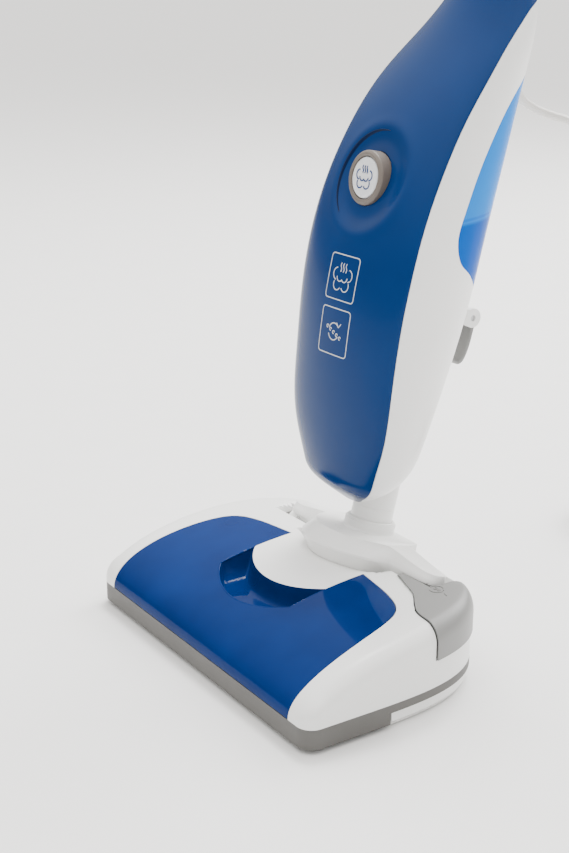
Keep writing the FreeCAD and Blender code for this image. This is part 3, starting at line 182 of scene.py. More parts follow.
def piece(name, points, faces, sharp=35.0):
    """A mesh piece from points in millimetres. Doubles are merged, faces point outwards on a closed
    form, and edges that turn by more than sharp degrees stay crisp."""
    mesh = bpy.data.meshes.new(name)
    mesh.from_pydata((np.asarray(points).reshape(-1, 3) * MM).tolist(), [], [list(f) for f in faces])
    work = bmesh.new()
    work.from_mesh(mesh)
    bmesh.ops.remove_doubles(work, verts=work.verts, dist=2e-6)
    bmesh.ops.dissolve_degenerate(work, edges=work.edges, dist=1e-7)
    bmesh.ops.recalc_face_normals(work, faces=work.faces)
    work.to_mesh(mesh)
    work.free()
    mesh.shade_smooth()
    mesh.set_sharp_from_angle(angle=math.radians(sharp))
    obj = bpy.data.objects.new(name, mesh)
    bpy.context.scene.collection.objects.link(obj)
    return obj


def joined(name, parts, sharp=35.0):
    """One piece from several point-and-face sets."""
    points, faces, start = [], [], 0
    for p, f in parts:
        p = np.asarray(p).reshape(-1, 3)
        points.append(p)
        faces += [[k + start for k in face] for face in f]
        start += len(p)
    return piece(name, np.vstack(points), faces, sharp)


def walled(outer, inner):
    """A closed shell: an outer grid, an inner grid turned over, and strips joining their borders."""
    rows, cols = outer.shape[:2]
    size = rows * cols
    near = np.arange(size).reshape(rows, cols)
    loop = np.concatenate([near[0, :], near[1:, -1], near[-1, -2::-1], near[-2:0:-1, 0]])
    after = np.roll(loop, -1)
    rim = np.stack([loop, loop + size, after + size, after], axis=1)
    faces = np.vstack([cells(rows, cols), cells(rows, cols)[:, ::-1] + size, rim])
    return np.concatenate([outer.reshape(-1, 3), inner.reshape(-1, 3)]), faces


def prism(outline, direction, start, end):
    """A closed prism: a flat outline carried along one axis. direction names the axis."""
    flat = np.asarray(outline, float)
    n = len(flat)
    axis = "xyz".index(direction)
    ends = []
    for at in (start, end):
        ring = np.insert(flat, axis, at, axis=1)
        ends.append(ring)
    points = np.vstack(ends)
    faces = [list(range(n)), list(range(2 * n - 1, n - 1, -1))]
    faces += [[k, (k + 1) % n, (k + 1) % n + n, k + n] for k in range(n)]
    return points, faces


def carve(obj, tools, operation="DIFFERENCE", sharp=35.0):
    """obj less, or shared with, each closed tool. The tools are used up."""
    for tool in tools:
        step = obj.modifiers.new("carve", "BOOLEAN")
        step.solver = "EXACT"
        step.operation = operation
        step.object = tool
        solid = bpy.data.meshes.new_from_object(obj.evaluated_get(bpy.context.evaluated_depsgraph_get()))
        obj.modifiers.clear()
        obj.data = solid
        bpy.data.objects.remove(tool)
    obj.data.shade_smooth()
    obj.data.set_sharp_from_angle(angle=math.radians(sharp))
    return obj


def turned(profile, axis_point, axis, count=64):
    """A surface of revolution: each (radius, height) of the profile goes round the axis."""
    axis = np.asarray(axis, float) / np.linalg.norm(axis)
    side = np.cross(axis, [1.0, 0, 0] if abs(axis[0]) < 0.9 else [0, 1.0, 0])
    side /= np.linalg.norm(side)
    other = np.cross(axis, side)
    a = np.linspace(0, 2 * np.pi, count, endpoint=False)
    r, h = np.asarray(profile, float).T
    ring = np.cos(a)[:, None] * side + np.sin(a)[:, None] * other
    points = np.asarray(axis_point, float) + h[:, None, None] * axis + r[:, None, None] * ring
    return points, cells(len(r), count, wrap_cols=True)


def rounded(corners, radius, count=5):
    """A profile whose inner corners are replaced by arcs, as quadratic curves tangent to both sides."""
    c = np.asarray(corners, float)
    out = [c[:1]]
    for before, here, after in zip(c, c[1:], c[2:]):
        one, two = before - here, after - here
        reach = min(radius, 0.45 * np.linalg.norm(one), 0.45 * np.linalg.norm(two))
        a, b = here + one / np.linalg.norm(one) * reach, here + two / np.linalg.norm(two) * reach
        t = np.linspace(0, 1, count)[:, None]
        out.append((1 - t) ** 2 * a + 2 * t * (1 - t) * here + t ** 2 * b)
    out.append(c[-1:])
    return np.vstack(out)


def swept(path, across, half_across, half_thick, closed, count=28, power=2.6):
    """A rounded bar: a superellipse section carried along a flat path. across is the direction that
    stays level, and the thickness lies in the path's plane. An open bar closes to a point at its ends."""
    p = np.asarray(path, float)
    ahead = np.roll(p, -1, axis=0) - np.roll(p, 1, axis=0)
    if not closed:
        ahead[0], ahead[-1] = p[1] - p[0], p[-1] - p[-2]
    ahead /= np.linalg.norm(ahead, axis=1)[:, None]
    across = np.asarray(across, float)
    normal = np.cross(ahead, across)
    a = np.linspace(0, 2 * np.pi, count, endpoint=False)
    u = np.sign(np.cos(a)) * np.abs(np.cos(a)) ** (2 / power)
    w = np.sign(np.sin(a)) * np.abs(np.sin(a)) ** (2 / power)
    size_a = np.broadcast_to(half_across, len(p))[:, None, None]
    size_t = np.broadcast_to(half_thick, len(p))[:, None, None]
    if not closed:
        from_end = np.minimum(np.arange(len(p)), np.arange(len(p))[::-1]) / 3.0
        taper = np.sqrt(1 - (1 - np.clip(from_end, 0, 1)) ** 2)[:, None, None]
        size_a, size_t = size_a * taper, size_t * taper
    sideways = u[None, :, None] * size_a * across
    points = p[:, None, :] + sideways + w[None, :, None] * size_t * normal[:, None, :]
    return points, cells(len(p), count, wrap_rows=closed, wrap_cols=True)


# ================================================================ shader groups
def new_group(name, inputs, outputs):
    """An empty shader group with the named inputs and outputs."""
    tree = bpy.data.node_groups.new(name, "ShaderNodeTree")
    for label, kind, value in inputs:
        socket = tree.interface.new_socket(name=label, in_out="INPUT", socket_type="NodeSocket" + kind)
        if value is not None:
            socket.default_value = value
    for label, kind in outputs:
        tree.interface.new_socket(name=label, in_out="OUTPUT", socket_type="NodeSocket" + kind)
    return tree, tree.nodes.new("NodeGroupInput"), tree.nodes.new("NodeGroupOutput")


def add_math(tree, operation, first, second):
    """One Math node whose inputs are sockets or numbers."""
    node = tree.nodes.new("ShaderNodeMath")
    node.operation = operation
    for socket, value in zip(node.inputs, (first, second)):
        if isinstance(value, (int, float)):
            socket.default_value = value
        else:
            tree.links.new(value, socket)
    return node.outputs[0]


def add_noise(tree, point, scale, detail, rough=0.5):
    """One Noise node on the given point."""
    node = tree.nodes.new("ShaderNodeTexNoise")
    node.inputs["Detail"].default_value = detail
    node.inputs["Roughness"].default_value = rough
    tree.links.new(point, node.inputs["Vector"])
    if isinstance(scale, (int, float)):
        node.inputs["Scale"].default_value = scale
    else:
        tree.links.new(scale, node.inputs["Scale"])
    return node.outputs["Fac"]


def moulded_skin():
    """Moulded plastic: a fine spark-eroded grain, slow waviness from cooling and faint wiping marks."""
    tree, come, go = new_group("moulded_skin", [
        ("Point", "Vector", None), ("Grain size", "Float", 900.0), ("Base roughness", "Float", 0.3),
        ("Roughness spread", "Float", 0.1)], [("Roughness", "Float"), ("Height", "Float"), ("Tone", "Float")])
    point = come.outputs["Point"]
    grain = add_noise(tree, point, come.outputs["Grain size"], 3.0, 0.65)
    wave = add_noise(tree, point, 22.0, 2.0)
    wiped = add_noise(tree, point, 75.0, 6.0, 0.7)
    centred = add_math(tree, "SUBTRACT", wiped, 0.5)
    spread = add_math(tree, "MULTIPLY", centred, come.outputs["Roughness spread"])
    tree.links.new(add_math(tree, "ADD", come.outputs["Base roughness"], spread), go.inputs["Roughness"])
    tree.links.new(add_math(tree, "ADD", grain, add_math(tree, "MULTIPLY", wave, 0.6)), go.inputs["Height"])
    tree.links.new(wave, go.inputs["Tone"])
    return tree


def drawn_lines():
    """Drawn or brushed metal: noise stretched a hundredfold across the given axis scales."""
    tree, come, go = new_group("drawn_lines", [
        ("Point", "Vector", None), ("Stretch", "Vector", (1.0, 1.0, 1.0)), ("Base roughness", "Float", 0.3)],
        [("Roughness", "Float"), ("Height", "Float"), ("Tone", "Float")])
    scale = tree.nodes.new("ShaderNodeVectorMath")
    scale.operation = "MULTIPLY"
    tree.links.new(come.outputs["Point"], scale.inputs[0])
    tree.links.new(come.outputs["Stretch"], scale.inputs[1])
    lines = add_noise(tree, scale.outputs[0], 1.0, 4.0, 0.6)
    spread = add_math(tree, "MULTIPLY", add_math(tree, "SUBTRACT", lines, 0.5), 0.35)
    tree.links.new(add_math(tree, "ADD", come.outputs["Base roughness"], spread), go.inputs["Roughness"])
    tree.links.new(lines, go.inputs["Height"])
    tree.links.new(add_noise(tree, come.outputs["Point"], 40.0, 3.0), go.inputs["Tone"])
    return tree


def looped_pile():
    """Looped cloth: rounded cells a loop wide, with finer fibres across them. The tone is painted shade:
    light on each loop's dome, darker in the gaps between loops.
    """
    tree, come, go = new_group("looped_pile", [("Point", "Vector", None), ("Loops", "Float", 420.0)],
                               [("Height", "Float"), ("Tone", "Float")])
    loops = tree.nodes.new("ShaderNodeTexVoronoi")
    tree.links.new(come.outputs["Point"], loops.inputs["Vector"])
    tree.links.new(come.outputs["Loops"], loops.inputs["Scale"])
    fibre = add_noise(tree, come.outputs["Point"], 2600.0, 3.0, 0.7)
    dome = add_math(tree, "SUBTRACT", 1.0, loops.outputs["Distance"])
    tree.links.new(add_math(tree, "ADD", dome, add_math(tree, "MULTIPLY", fibre, 0.35)), go.inputs["Height"])
    # painted shade: the colour follows the dome and is darker between the loops
    tree.links.new(dome, go.inputs["Tone"])
    return tree


SKIN = moulded_skin()
LINES = drawn_lines()
PILE = looped_pile()


# ================================================================ materials
def start_material(name, tree_group, values):
    """A material with its Principled shader and one effect group reading Object coordinates."""
    mat = bpy.data.materials.new(name)
    mat.use_nodes = True
    tree = mat.node_tree
    shader = tree.nodes["Principled BSDF"]
    where = tree.nodes.new("ShaderNodeTexCoord")
    effect = tree.nodes.new("ShaderNodeGroup")
    effect.node_tree = tree_group
    tree.links.new(where.outputs["Object"], effect.inputs["Point"])
    for label, value in values.items():
        effect.inputs[label].default_value = value
    return mat, tree, shader, effect


def tone(tree, effect, shader, dark, light):
    """The base colour runs from dark to light with the effect's tone."""
    mix = tree.nodes.new("ShaderNodeMix")
    mix.data_type = "RGBA"
    mix.inputs[6].default_value = (*dark, 1)
    mix.inputs[7].default_value = (*light, 1)
    tree.links.new(effect.outputs["Tone"], mix.inputs[0])
    tree.links.new(mix.outputs[2], shader.inputs["Base Color"])
    return mix


def relief(tree, effect, shader, strength, distance):
    """The effect's height becomes bump."""
    bump = tree.nodes.new("ShaderNodeBump")
    bump.inputs["Strength"].default_value = strength
    bump.inputs["Distance"].default_value = distance
    tree.links.new(effect.outputs["Height"], bump.inputs["Height"])
    tree.links.new(bump.outputs["Normal"], shader.inputs["Normal"])


def plastic(name, dark, light, rough, spread=0.08, grain=900.0, bump=0.08, coat=0.0, shine=0.5):
    """Moulded plastic, glossy or satin."""
    mat, tree, shader, effect = start_material(name, SKIN, {
        "Grain size": grain, "Base roughness": rough, "Roughness spread": spread})
    tone(tree, effect, shader, dark, light)
    tree.links.new(effect.outputs["Roughness"], shader.inputs["Roughness"])
    relief(tree, effect, shader, bump, 0.0004)
    shader.inputs["Specular IOR Level"].default_value = shine
    shader.inputs["Coat Weight"].default_value = coat
    shader.inputs["Coat Roughness"].default_value = 0.04
    return mat


def clear_plastic(name, colour, deep, clear, rough=0.06, bend=1.3):
    """Tinted clear plastic: the tint deepens in the slow waves of the moulding."""
    mat, tree, shader, effect = start_material(name, SKIN, {
        "Grain size": 120.0, "Base roughness": rough, "Roughness spread": 0.04})
    mix = tone(tree, effect, shader, deep, colour)
    tree.links.new(effect.outputs["Roughness"], shader.inputs["Roughness"])
    relief(tree, effect, shader, 0.03, 0.0006)
    shader.inputs["Transmission Weight"].default_value = clear
    shader.inputs["IOR"].default_value = bend
    shader.inputs["Specular IOR Level"].default_value = 0.2
    return mat, tree, shader, mix


def metal(name, dark, light, rough, stretch):
    """Drawn or turned metal."""
    mat, tree, shader, effect = start_material(name, LINES, {"Stretch": stretch, "Base roughness": rough})
    tone(tree, effect, shader, dark, light)
    tree.links.new(effect.outputs["Roughness"], shader.inputs["Roughness"])
    relief(tree, effect, shader, 0.12, 0.0002)
    shader.inputs["Metallic"].default_value = 1.0
    return mat


def cloth(name, dark, light, loops):
    """Looped or brushed cloth with sheen; its colour runs from dark between the loops to light on their tops,
    as painted shade.
    """
    mat, tree, shader, effect = start_material(name, PILE, {"Loops": loops})
    # painted shade: dark in the gaps between loops, light on the loop tops
    tone(tree, effect, shader, dark, light)
    relief(tree, effect, shader, 0.7, 0.0008)
    shader.inputs["Roughness"].default_value = 0.92
    shader.inputs["Sheen Weight"].default_value = 0.35
    return mat


def tank_plastic():
    """Clear cyan plastic, deeper below the water's level, with a painted highlight: a bright line where the
    water ends.
    """
    mat, tree, shader, mix = clear_plastic("clear_tank", (0.0, 0.24, 0.76), (0.0, 0.20, 0.68),
                                           0.12, 0.12, 1.08)
    where = tree.nodes.new("ShaderNodeTexCoord")
    split = tree.nodes.new("ShaderNodeSeparateXYZ")
    tree.links.new(where.outputs["Object"], split.inputs[0])
    ramp = tree.nodes.new("ShaderNodeValToRGB")
    low, high = 0.20, 0.46
    level = (WATER_Z * MM - low) / (high - low)
    water_and_highlight_stops = ramp.color_ramp
    water_and_highlight_stops.elements[0].position, water_and_highlight_stops.elements[0].color = 0.0, (0.30, 0.38, 0.62, 1)
    water_and_highlight_stops.elements[1].position, water_and_highlight_stops.elements[1].color = 1.0, (1.0, 1.0, 1.0, 1)
    # The darker stops are the water's own tint. The near-white stop at level - 0.012 is a painted highlight
    # of the water's surface.
    for at, shade in ((level - 0.022, (0.34, 0.42, 0.66, 1)), (level - 0.012, (0.9, 1.0, 1.0, 1)),
                      (level - 0.006, (0.45, 0.55, 0.8, 1)), (level, (1.0, 1.0, 1.0, 1))):
        water_and_highlight_stops.elements.new(at).color = shade
    height = add_math(tree, "DIVIDE", add_math(tree, "SUBTRACT", split.outputs["Z"], low), high - low)
    tree.links.new(height, ramp.inputs[0])
    product = tree.nodes.new("ShaderNodeMix")
    product.data_type = "RGBA"
    product.blend_type = "MULTIPLY"
    product.inputs[0].default_value = 1.0
    tree.links.new(mix.outputs[2], product.inputs[6])
    tree.links.new(ramp.outputs[0], product.inputs[7])
    tree.links.new(product.outputs[2], shader.inputs["Base Color"])
    return mat


M = {
    "gloss_blue": plastic("gloss_blue", (0.0, 0.022, 0.105), (0.0, 0.029, 0.130),
                          0.22, 0.03, 240, 0.0, 0.05, 0.12),
    "white_shell": plastic("white_shell", (0.82, 0.82, 0.805), (0.86, 0.86, 0.845), 0.30, 0.08, 1400, 0.06),
    "clear_blue": clear_plastic("clear_bin", (0.0, 0.040, 0.23), (0.0, 0.020, 0.13), 0.4, 0.05, 1.2)[0],
    "clear_cyan": tank_plastic(),
    "chassis_grey": plastic("chassis_grey", (0.085, 0.082, 0.076), (0.105, 0.102, 0.095),
                            0.52, 0.1, 1500, 0.15),
    "pedal_grey": plastic("pedal_grey", (0.185, 0.185, 0.18), (0.225, 0.225, 0.22), 0.40, 0.08, 1700, 0.12),
    "dark_tray": plastic("dark_tray", (0.02, 0.025, 0.10), (0.03, 0.035, 0.13), 0.42),
    "soft_grey": plastic("soft_grey", (0.18, 0.18, 0.18), (0.22, 0.22, 0.22), 0.75, 0.1, 2200, 0.3),
    "button_white": plastic("button_white", (0.66, 0.68, 0.70), (0.72, 0.74, 0.76),
                            0.3, 0.05, 1600, 0.05, 0.4),
    "ring_dark": plastic("ring_dark", (0.115, 0.095, 0.08), (0.145, 0.12, 0.10), 0.5, 0.1, 1600, 0.15),
    "dark_lens": plastic("dark_lens", (0.0, 0.006, 0.03), (0.0, 0.008, 0.045),
                         0.35, 0.03, 700, 0.02, 0.0, 0.1),
    "print_grey": plastic("print_grey", (0.50, 0.52, 0.54), (0.58, 0.60, 0.62), 0.45, 0.05, 2500, 0.05),
    "print_navy": plastic("print_navy", (0.0, 0.02, 0.12), (0.0, 0.03, 0.16), 0.45, 0.05, 2500, 0.05),
    "white_tube": plastic("white_tube", (0.78, 0.78, 0.77), (0.83, 0.83, 0.82), 0.25, 0.05, 1100, 0.05, 0.6),
    "cord_white": plastic("cord_white", (0.60, 0.58, 0.54), (0.68, 0.66, 0.62), 0.45, 0.08, 1500, 0.1),
    "black_rubber": plastic("black_rubber", (0.02, 0.02, 0.02), (0.035, 0.035, 0.035), 0.8, 0.1, 1800, 0.4),
    "board_green": plastic("board_green", (0.01, 0.12, 0.04), (0.02, 0.18, 0.07), 0.4),
    "steel": metal("drawn_steel", (0.45, 0.45, 0.46), (0.60, 0.60, 0.61), 0.32, (12.0, 900.0, 900.0)),
    "spring_steel": metal("spring_steel", (0.40, 0.40, 0.42), (0.56, 0.56, 0.58), 0.28, (900.0, 900.0, 60.0)),
    # each cloth's darker colour is painted shade between the loops, and its lighter colour is the loop tops
    "pad_fabric": cloth("pad_loops", (0.66, 0.66, 0.64), (0.86, 0.86, 0.84), 430.0),
    "bristle": cloth("bristle", (0.10, 0.12, 0.20), (0.20, 0.23, 0.34), 900.0),
}


def dress(obj, body, material, slot, *replaced):
    """Gives a piece its material and its body. slot is not used."""
    obj.data.materials.clear()
    obj.data.materials.append(M[material])
    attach(obj, body)
    if replaced:
        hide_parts(*replaced)


# ================================================================ head
def plan_half(y, inset=0.0):
    """Half width of the head: straight in front with quarter-round corners, and behind the widest
    line a superellipse, half times (1 - share^p)^(1/p)."""
    y = np.asarray(y, float)
    half, rear, front = HALF - inset, REAR - inset, FRONT + inset
    share = np.clip((y - WIDEST) / (rear - WIDEST), 0, 1)
    wide = half * (1 - share ** PLAN_POWER) ** (1 / PLAN_POWER)
    r = CORNER - inset
    near = np.clip(r - (y - front), 0, r)
    return wide - (r - np.sqrt(r ** 2 - near ** 2))


def crown(y, inset=0.0):
    """Height of the middle line: a superellipse from the front seam up to the crest and down again."""
    y = np.asarray(y, float)
    ahead = np.clip((CREST - y) / (CREST - FRONT - inset), 0, 1)
    behind = np.clip((y - CREST) / (REAR - inset - CREST), 0, 1)
    rise = np.where(y <= CREST, (1 - ahead ** 2.1) ** (1 / 2.1), (1 - behind ** 2.6) ** (1 / 2.6))
    return SEAM + (TOP - SEAM - inset) * rise


def head_height(x, y, inset=0.0):
    """Height of the head's top at x, y: a shallow parabola between the shoulders."""
    top, half = crown(y, inset), plan_half(y, inset)
    r = np.minimum(np.minimum(SHOULDER - inset / 2, (top - SEAM) * 0.55), half * 0.4)
    flat = np.maximum(half - r, 1e-6)
    return top - 0.03 * (top - SEAM) * np.minimum(np.abs(x) / flat, 1) ** 2


def seat_depth(x, y, z, grow=0.0):
    """How far the shell dips for the collar: down to a plane square to the neck, under the collar and
    its arms, and deeper behind the neck where the collar swings back. grow widens every dip."""
    v = (y - NECK[1]) / BACK[1]
    plane = NECK[2] - v * UP[1] - 9.0
    round_part = 1 - ease(46 + grow, 61 + grow, np.hypot(x, (y - 63) * 1.02))
    arm = (1 - ease(94 + grow, 103 + grow, np.abs(x))) * (1 - ease(11 + grow, 17 + grow, np.abs(y - 63)))
    seat = np.maximum(round_part, arm) * np.maximum(z - plane, 0)
    well = (1 - ease(47 + grow, 54 + grow, np.abs(x))) * ease(34 - grow, 44 - grow, y)
    well = well * (1 - ease(85 + grow, 90 + grow, y))
    swing = (1 - ease(97 + grow, 101 + grow, np.abs(x))) * ease(48 - grow, 50.5 - grow, y)
    swing = swing * (1 - ease(81 + grow, 84 + grow, y))
    eye = (1 - ease(7 + grow, 10 + grow, np.abs(np.abs(x) - EYE_X))) * (1 - ease(11, 15, np.abs(y - 62)))
    slot = np.maximum(swing * (z - 49), eye * (z - 44))
    return np.maximum(np.maximum(seat, well * (z - 27)), slot)


def head_grid(inset, seat, rows=110):
    """The head above its seam as one grid. Rows run from front to rear, closer together where the
    crown is steep. Each row climbs the side, rounds the shoulder and crosses the top."""
    turn = np.linspace(0, np.pi / 2, rows // 2 + 14)
    ahead = CREST - (CREST - FRONT - inset) * np.cos(turn) ** (2 / 2.1)
    behind = CREST + (REAR - inset - CREST) * np.sin(np.linspace(0, np.pi / 2, rows // 2 - 12)) ** (2 / 2.6)
    y = np.concatenate([ahead, behind[1:]])[:, None]
    top, half = crown(y, inset), plan_half(y, inset)
    r = np.minimum(np.minimum(SHOULDER - inset / 2, (top - SEAM) * 0.55), half * 0.4)
    shoulder = top - 0.03 * (top - SEAM)
    side = np.linspace(0, 1, 7)[None, :-1]
    arc = np.linspace(0, np.pi / 2, 12)[None, :-1]
    across = np.linspace(1, -1, 131)[None, :]
    x = np.concatenate([half + 0 * side, half - r + r * np.cos(arc), (half - r) * across], axis=1)
    z = np.concatenate([SEAM + (shoulder - r - SEAM) * side, shoulder - r + r * np.sin(arc),
                        top - (top - shoulder) * across ** 2], axis=1)
    x = np.concatenate([x, -x[:, 16::-1]], axis=1)
    z = np.concatenate([z, z[:, 16::-1]], axis=1)
    y = np.broadcast_to(y, x.shape)
    if seat:
        dipped = head_height(x, y) - seat_depth(x, y, head_height(x, y), WALL)
        z = z - seat_depth(x, y, z) if inset == 0 else np.minimum(z, np.maximum(dipped - inset, SEAM))
    return np.stack([x, y, z], axis=-1)


def head_shell_solid(name, outset, wall, seat):
    """A closed shell of the head's surface, outset by so much and wall thick."""
    outer = head_grid(-outset, seat)
    inner = head_grid(wall - outset, seat)
    return piece(name, *walled(outer, inner))


def window_outline(grow):
    """The dust bin's outline in plan with the tongue's arc cut out of it."""
    w, rear = 126.0 + grow, 26.0 + grow
    side = smooth_curve([(w, FRONT - 20), (w + 1.5, FRONT + 16), (w - 1.5, FRONT + 54),
                         (118 + grow, rear - 33), (108 + grow, rear - 15), (87 + grow, rear - 6),
                         (TONGUE - grow, rear)], 90)
    return np.vstack([side, tongue_arc(TONGUE - grow, grow), (side * [-1, 1])[::-1]])


def arc_through(half, side, tip, count=40):
    """Points of the circular arc from (half, side) through (0, tip) to (-half, side)."""
    rise = side - tip
    r = (half ** 2 + rise ** 2) / (2 * rise)
    a = math.asin(min(1.0, half / abs(r)))
    t = np.linspace(a, -a, count)
    return np.stack([abs(r) * np.sin(t), tip + r - r * np.cos(t)], axis=1)


def tongue_arc(half, grow):
    """The tongue's front edge, from right to left."""
    return arc_through(half, TONGUE_SIDE + grow, TONGUE_TIP + grow)


def scoop_outline(grow):
    """The finger scoop's rim: a round front, straight sides and the tongue's arc behind."""
    front = arc_through(TONGUE + grow, SCOOP_SIDE, SCOOP_TIP - grow)
    back = arc_through(TONGUE + grow, TONGUE_SIDE, TONGUE_TIP)[::-1]
    return np.vstack([front, back])


def pedal_outline(grow):
    """The pedal in plan: a wavy front edge from a pointed tip, open beyond the head's corner, and
    behind it the edge that follows the collar's arm."""
    wave = smooth_curve([(67 - grow, 44), (72, 43.0 - grow), (84, 39 - grow), (99, 34 - grow),
                         (112, 25 - grow), (126, 19 - grow), (HALF + 14, 18 - grow)], 80)
    back = np.array([(HALF + 14, REAR + 12), (98 - grow, REAR + 12), (98 - grow, 50 + grow),
                     (82, 49.6 + grow), (68 - grow, 48.6 + grow)])
    return np.vstack([wave, back])


def make_shell():
    """The white shell: the head's surface with the seat for the collar, less the bin and the pedal."""
    shell = head_shell_solid("shell_top", 0.0, WALL, True)
    tools = [piece("tool", *prism(window_outline(GAP / 2), "z", 0, 120)),
             piece("tool", *prism(pedal_outline(0.9), "z", PEDAL_HEM - 0.6, 120))]
    dress(carve(shell, tools), "head", "white_shell", "white_shell", "head_shell")


def scoop_bowl():
    """The scoop: between its front arc and the tongue's arc, the surface sinks by the depth times
    (1 - u^10)(1 - w^8), so that the walls are steep and the floor is round-edged."""
    u = np.sin(np.linspace(-np.pi / 2, np.pi / 2, 61))[None, :]
    w = np.sin(np.linspace(-np.pi / 2, np.pi / 2, 49))[:, None]
    x = u * TONGUE + 0 * w
    front = np.interp(x[0], *arc_through(TONGUE, SCOOP_SIDE, SCOOP_TIP)[::-1].T)
    back = np.interp(x[0], *arc_through(TONGUE, TONGUE_SIDE, TONGUE_TIP)[::-1].T)
    y = front + (back - front) * (w + 1) / 2
    z = head_height(x, y)
    deep = (z - SCOOP_FLOOR) * (1 - np.abs(u) ** 10) * (1 - np.abs(w) ** 8)
    outer = np.stack([x, y, z - deep], axis=-1)
    low = outer - np.array([0, 0, 1.8])
    return walled(outer, low)


def make_bin():
    """The clear cover: the head's surface inside the window, less the scoop, plus the scoop's bowl."""
    cover = head_shell_solid("bin_lid", 0.0, 2.2, False)
    window = piece("tool", *prism(window_outline(-GAP / 2), "z", SEAM + GAP, 120))
    carve(cover, [window], "INTERSECT")
    carve(cover, [piece("tool", *prism(scoop_outline(0.05), "z", 0, 120))])
    dress(cover, "dust_bin", "clear_blue", "clear_blue", "bin_cover")
    bowl = piece("bin_scoop", *scoop_bowl())
    dress(bowl, "dust_bin", "clear_blue", "clear_blue")
    arc = arc_through(TONGUE, SCOOP_SIDE, SCOOP_TIP, 60)
    sides = np.linspace(TONGUE_SIDE, SCOOP_SIDE, 16)[:-1]
    line = np.vstack([np.stack([0 * sides + TONGUE, sides], axis=1), arc,
                      np.stack([0 * sides - TONGUE, sides[::-1]], axis=1)])
    line = np.column_stack([line, head_height(line[:, 0], line[:, 1]) - 0.55])
    rim = piece("scoop_rim", *swept(line, (0, 0, 1.0), 0.7, 0.8, False, 16, 2.0))
    dress(rim, "dust_bin", "clear_blue", "clear_blue")


def make_pedal():
    """The pedal: the head's surface set proud, inside the pedal's outline, with a deep skirt."""
    pedal = head_shell_solid("pedal_top", PEDAL_PROUD, PEDAL_PROUD - 0.25, False)
    tool = piece("tool", *prism(pedal_outline(0.0), "z", PEDAL_HEM, 120))
    carve(pedal, [tool], "INTERSECT")
    dress(pedal, "foot_pedal", "pedal_grey", "pedal_grey", "pedal")


make_shell()
make_bin()
make_pedal()


# ================================================================ collar and arms
def collar_front(x, radius, arm):
    """Front edge of the collar at x: the power mean of a circle and the arm's sweep, so that the
    round collar runs into its arms without a corner."""
    circle = np.sqrt(np.maximum(radius ** 2 - x ** 2, 0))
    sweep = arm + 12.0 * (1 - np.abs(x) / 95.0) ** 2
    return -(circle ** 5 + sweep ** 5) ** 0.2


def collar_loft():
    """Collar and arms as sections along x. Each section goes down the front face to a crease, under
    it to the foot, along the underside, up the back and over the rounded top edge."""
    x = 94.5 * np.sin(np.linspace(-np.pi / 2, np.pi / 2, 97))
    end = np.sqrt(np.maximum(1 - (np.abs(x) / 94.5) ** 14, 0))
    top = 15.0 - 6.5 * ease(30, 88, np.abs(x))
    rim = collar_front(x, COLLAR_R, 9.0)
    crease = collar_front(x, 51.0, 12.5)
    foot = collar_front(x, 44.0, 8.0)
    back = np.where(np.abs(x) < 42.5, np.sqrt(np.maximum(42.5 ** 2 - x ** 2, 0)), 0)
    back = np.minimum((back ** 6 + 9.0 ** 6) ** (1 / 6), 21.0)
    crease_s = 3.0 - 1.5 * ease(30, 88, np.abs(x))
    foot_s = -8.5 + 7.0 * ease(40, 92, np.abs(x))
    mid = 0.5 * (rim + back)
    stations = []
    for v, s in ((rim + 1.6, top), (rim + 0.5, top - 0.4), (rim, top - 1.6),
                 (0.5 * rim + 0.5 * crease, 0.5 * (top + crease_s)), (crease + 0.3, crease_s + 1.0),
                 (crease + 0.2, crease_s - 0.6), (0.5 * (crease + foot), 0.5 * (crease_s + foot_s)),
                 (foot, foot_s), (back - 0.6, foot_s), (back, foot_s + 0.6), (back, top - 1.6),
                 (back - 0.5, top - 0.4), (back - 1.6, top)):
        stations.append(np.stack([x, mid + (v - mid) * end, s + 0 * x], axis=-1))
    grid = np.stack(stations, axis=1)
    return lean(grid), cells(len(x), len(stations), wrap_cols=True)


def make_collar():
    """Collar with its arms, the raised socket round the neck and the two hinge eyes."""
    parts = [collar_loft()]
    socket = rounded([(NECK_R + 0.1, 12), (NECK_R + 0.1, 24), (NECK_R + 2.5, 24), (NECK_R + 3.2, 17),
                      (NECK_R + 5.0, 14.6), (NECK_R + 5.0, 12)], 1.2)
    parts.append(turned(np.vstack([socket, socket[:1]]), lean([0, 0, 0]), UP, 72))
    pivot = np.array(JOINTS["recline"]["pos_m"]) / MM
    for side in (-1, 1):
        ring = rounded([(4.1, -5.4), (8.0, -5.4), (8.0, 5.4), (4.1, 5.4)], 0.8)
        parts.append(turned(np.vstack([ring, ring[:1]]), pivot + [side * EYE_X, 0, 0], (1, 0, 0), 40))
    dress(joined("collar_arms", parts), "hinge_yoke", "white_shell", "white_shell", "yoke")


make_collar()


# ================================================================ body
def body_point(turn, s, inset=0.0, dish=True):
    """A point of the body: across, half times the cosine of the turn; behind the seam half an ellipse,
    and in front of it a flatter arc whose depth goes with the sine to the power 1.2."""
    s = np.asarray(s, float)
    front, seam, share, rear = [cubic_through(STATIONS[:, 0], STATIONS[:, k], s) for k in (1, 2, 3, 4)]
    half = BODY_HALF * share - inset
    sine = np.sin(turn)
    behind = seam + (rear - inset - seam) * np.maximum(sine, 0)
    ahead = (front + inset - seam) * np.abs(np.minimum(sine, 0)) ** 1.2
    x = half * np.cos(turn)
    v = np.where(sine >= 0, behind, seam + ahead)
    if dish:
        away = np.hypot(x, s - BUTTON_S)
        low = (1 - ease(27, DISH_R, away)) * DISH_DEPTH
        lip = np.exp(-((away - DISH_R) / 5.0) ** 2) * 0.5
        v = np.where(sine < 0, v + low - lip, v)
    return np.stack([x, v, s + 0 * x], axis=-1)


